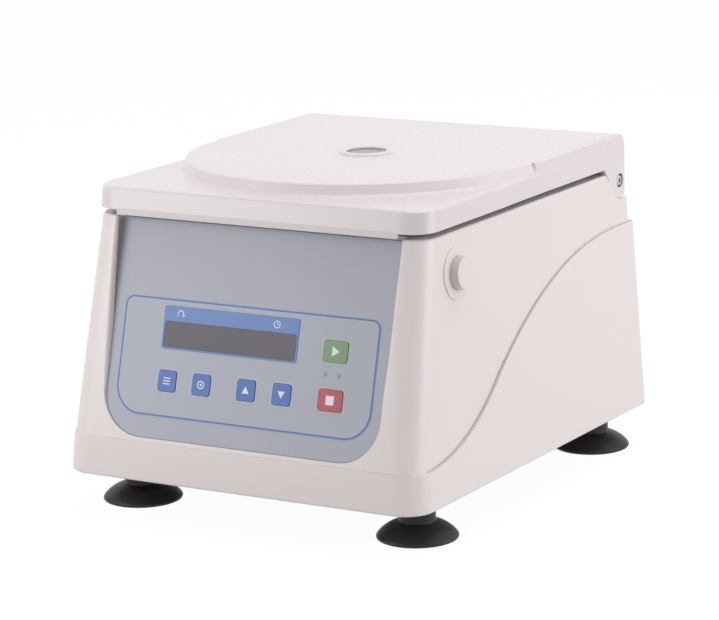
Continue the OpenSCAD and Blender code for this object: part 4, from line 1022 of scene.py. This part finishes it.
# %% Display
FIELD_T = 0.7
field = round_rect(DISPLAY_X, DISPLAY_Y, 128.2, 34.9, 2.6)
frame_blue = on_panel_slab("display_field", field, 0, FIELD_T, 0.15)
cut_panel(frame_blue, 0.3, 5, DISPLAY_X, WINDOW_Y, 125.4, 21.6, 3.0)
cut_panel(frame_blue, -2, 5, DISPLAY_X, WINDOW_Y, 118, 18, 2.0)
settle(frame_blue, "case", "blue_film", BLUE, "display_frame")
glass = on_panel_slab("display_pane", round_rect(DISPLAY_X, WINDOW_Y, 125.0, 21.2, 2.8), 0.3, 0.5, 0.1)
settle(glass, "case", "display_glass", WINDOW, "display_window")


def ring_sign(cx, cy, r, width, a0, a1, n=28):
    """A flat arc of a given width as one outline."""
    return arc(cx, cy, r, a0, a1, n) + list(reversed(arc(cx, cy, r - width, a0, a1, n)))


def signs(name, outlines, z, body):
    """Printed signs: flat, thin solids on the panel."""
    verts, faces = [], []
    for outline in outlines:
        base, n = len(verts), len(outline)
        for h in (z - 0.02, z + 0.05):
            verts += [ON_PANEL @ Vector((x, y, h)) for x, y in outline]
        faces += [tuple(range(base, base + n)), tuple(range(base + n, base + 2 * n))]
        faces += [(base + i, base + (i + 1) % n, base + n + (i + 1) % n, base + n + i) for i in range(n)]
    return settle(new_object(name, verts, faces), body, "lid_plastic", PRINT, weighted=False)


def bar(x0, y0, x1, y1):
    return [(x0, y0), (x1, y0), (x1, y1), (x0, y1)]


HEAD_Y = 21.6
signs("display_signs", [
    ring_sign(-66, HEAD_Y, 3.1, 0.75, -30, 220), [(-63.9, 19.2), (-61.2, 20.6), (-64.0, 21.9)],
    ring_sign(26, HEAD_Y, 3.1, 0.65, 0, 359), bar(25.7, HEAD_Y, 26.3, HEAD_Y + 2.0),
    bar(26.0, HEAD_Y - 0.3, 27.7, HEAD_Y + 0.3)], FIELD_T, "case")

# %% [markdown]
# Keys. Each cap is a low pillow with rounded corners, and reaches through the panel on a narrower
# plunger. The pale rim is the edge of the embossed film.

# %% Keys and lamps
KEY_SIGNS = {
    "key_1": [bar(-3.4, y, 3.4, y + 0.9) for y in (1.9, -0.45, -2.8)],
    "key_2": [ring_sign(0, 0, 3.4, 0.9, 0, 359), round_rect(0, 0, 2.2, 2.2, 1.05)],
    "key_up": [[(-3.3, -2.6), (3.3, -2.6), (0, 3.2)]],
    "key_down": [[(3.3, 2.6), (-3.3, 2.6), (0, -3.2)]],
    "key_start": [[(-2.6, -4.2), (4.4, 0), (-2.6, 4.2)]],
    "key_stop": [round_rect(0, 0, 7.4, 7.4, 0.5, 2)]}
for name, (x, y, w, material, slot) in KEYS.items():
    cap = on_panel_slab(name + "_pad", round_rect(x, y, w, KEY_S, 2.6), 0.1, KEY_TOP, 0.35)
    join_solid(cap, on_panel_slab("stem", round_rect(x, y, w - 7, KEY_S - 7, 1), -7.9, 0.8))
    settle(cap, name + "_cap", slot, material, name)
    marks = [[(x + px, y + py) for px, py in outline] for outline in KEY_SIGNS[name]]
    signs(name + "_sign", marks, KEY_TOP, name + "_cap")
    rim = band(name + "_rim", round_rect(x, y, w + 2.0, KEY_S + 2.0, 3.4),
               round_rect(x, y, w + 2 * KEY_GAP, KEY_S + 2 * KEY_GAP, 2.7), OVERLAY_T - 0.1, OVERLAY_T + 0.08)
    settle(rim, "case", "overlay_film", HALO, weighted=False)

LAMP_SHAPE = [(1.6, -8.8), (1.6, 0.5), (1.35, 0.7), (0.9, 0.8), (0.2, 0.82)]
lenses = [turned("status_lenses", LAMP_SHAPE, ON_PANEL @ Matrix.Translation((x, y, 0)), n=32)
          for x, y in LAMPS_XY]
settle(join_solid(*lenses), "case", "lamp_red", LAMP, "status_lamps")

# %% [markdown]
# The lid button sits in a low ring on the right side. Both are turned shapes. The button's wall
# is painted a little greyer than its face: painted shade on the wall that faces away from the main light.

# %% Lid button
RING = [(13.45, -14), (15.8, -14), (15.8, -0.02), (21.7, -0.02), (21.7, 0.8), (21.6, 1.2), (21.2, 1.45),
        (20.8, 1.5), (14.2, 1.5), (13.8, 1.4), (13.45, 1.1)]
KNOB = [(3.9, -21.7), (4, -5.5), (13.4, -5.5), (13.4, 8.2), (13.3, 8.55), (13.1, 8.7), (12.8, 8.8),
        (0.5, 8.8)]
ring = turned("button_ring", RING, ON_BUTTON, hollow=True)
settle(ring, "case", "button_plastic", BUTTON, "button_bezel")
knob = turned("open_button", KNOB, ON_BUTTON)
settle(knob, "button", "button_plastic", BUTTON, "lid_button")
# The side wall, made of faces whose normals lie across the button's axis, takes the greyer copy: painted
# shade.
knob.data.materials.append(BUTTON_WALL_SHADE)
axis = ON_BUTTON.to_3x3().col[2]
for p in knob.data.polygons:
    p.material_index = int((p.normal - axis * p.normal.dot(axis)).length > 0.9)

# %% [markdown]
# Suction feet: a straight neck, a domed skirt and a soft rim, turned in one piece.

# %% Feet
FOOT = [(3.1, 35), (15, 35), (15, 15.4), (15.5, 14.6), (18.0, 13.7), (20.4, 12.9), (22.8, 11.8),
        (25.1, 10.5), (27.3, 9.0), (29.4, 7.3), (31.2, 5.5), (32.5, 4.0), (33.2, 2.9), (33.4, 2.2),
        (33.2, 1.3), (32.6, 0.5), (31.4, 0.0), (29.4, 0.0), (28.4, 0.4), (15, 3), (3.1, 3)]
for (x, y), name in zip(FOOT_XY, ("front_left", "front_right", "rear_left", "rear_right")):
    foot = turned("suction_" + name, FOOT, Matrix.Translation((x, y, 0)), hollow=True)
    settle(foot, "case", "black_rubber", RUBBER, "foot_" + name)

# %% [markdown]
# Everything else keeps its CAD shape. A copy of each visible machined or moulded piece is merged
# and gets a small bevel, so that its edges catch the light; hidden pieces only get their finish.

# %% Bevelled copies of CAD pieces
SLOT_FINISH = {
    "case_plastic": CASE, "lid_plastic": LID, "liner_plastic": LINER, "panel_plastic": PANEL,
    "overlay_film": FILM, "blue_film": BLUE, "green_film": GREEN, "red_film": RED,
    "display_glass": WINDOW, "clear_window": LENS, "lamp_red": LAMP, "board_green": BOARD,
    "black_rubber": RUBBER, "zinc_steel": ZINC, "bright_steel": STEEL, "bare_aluminium": ALU,
    "button_plastic": BUTTON, "black_plastic": BLACK, "motor_paint": PAINT, "copper_winding": COPPER}


def bevelled(node, width, new_name):
    """A merged copy of a CAD node with small bevels on its edges."""
    mesh = frame["nodes"][node].data.copy()
    bm = bmesh.new()
    bm.from_mesh(mesh)
    bmesh.ops.remove_doubles(bm, verts=bm.verts, dist=2e-6)
    bmesh.ops.dissolve_limit(bm, angle_limit=math.radians(0.5), verts=bm.verts, edges=bm.edges)
    bm.to_mesh(mesh)
    bm.free()
    obj = in_scene(new_name, mesh)
    mod = obj.modifiers.new("edges", "BEVEL")
    mod.width, mod.segments, mod.limit_method = width * MM, 2, "ANGLE"
    mod.angle_limit, mod.use_clamp_overlap = math.radians(35), True
    flatten(obj)
    slot = NODE_SLOT[node]
    return settle(obj, NODE_BODY[node], slot, SLOT_FINISH[slot], node)


for node, width, new_name in (
        ("rotor_yoke", 0.6, "swing_rotor"), ("rotor_nut", 0.5, "rotor_cap"),
        ("carrier_pins", 0.3, "pivot_pins"), ("plate_carrier_left", 0.4, "carrier_tray_left"),
        ("plate_carrier_right", 0.4, "carrier_tray_right"),
        ("hinge_bracket_left", 0.5, "hinge_block_left"),
        ("hinge_bracket_right", 0.5, "hinge_block_right"), ("lid_liner", 0.5, "lid_inner"),
        ("lid_striker", 0.3, "striker"), ("lock_bolt", 0.4, "bolt_pin"),
        ("lock_solenoid", 0.6, "solenoid"),
        ("lock_bracket", 0.3, "lock_plate"), ("mains_inlet", 0.5, "inlet"),
        ("mains_switch", 0.4, "switch_frame"), ("mains_rocker", 0.5, "rocker_cap"),
        ("rear_plate", 0.3, "socket_plate"), ("foot_bolts", 0.3, "foot_studs"),
        ("base_plate", 0.3, "chassis"), ("power_supply", 1.0, "supply_can"),
        ("motor_case", 1.0, "motor_can"), ("motor_plate", 0.6, "motor_flange")):
    bevelled(node, width, new_name)

# %% [markdown]
# Pieces that nothing above stands for are seen as they were packed, each in its own finish.

# %% Finishes of the pieces that keep their CAD mesh
for name, node in frame["nodes"].items():
    node.data.materials.clear()
    node.data.materials.append(SLOT_FINISH[NODE_SLOT[name]])
print("CAD pieces shown:", sum(not o.hide_render for o in frame["nodes"].values()))

# %% [markdown]
# Last, the size of the dressed model is written beside that of the CAD model.

# %% Sizes and finish
low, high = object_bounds()
{"cad": [list(cad_low), list(cad_high)], "visual": [list(low), list(high)]}
print("grown by mm:", [round((a - b) * 1000, 2) for a, b in zip(high, cad_high)],
      [round((b - a) * 1000, 2) for a, b in zip(low, cad_low)])
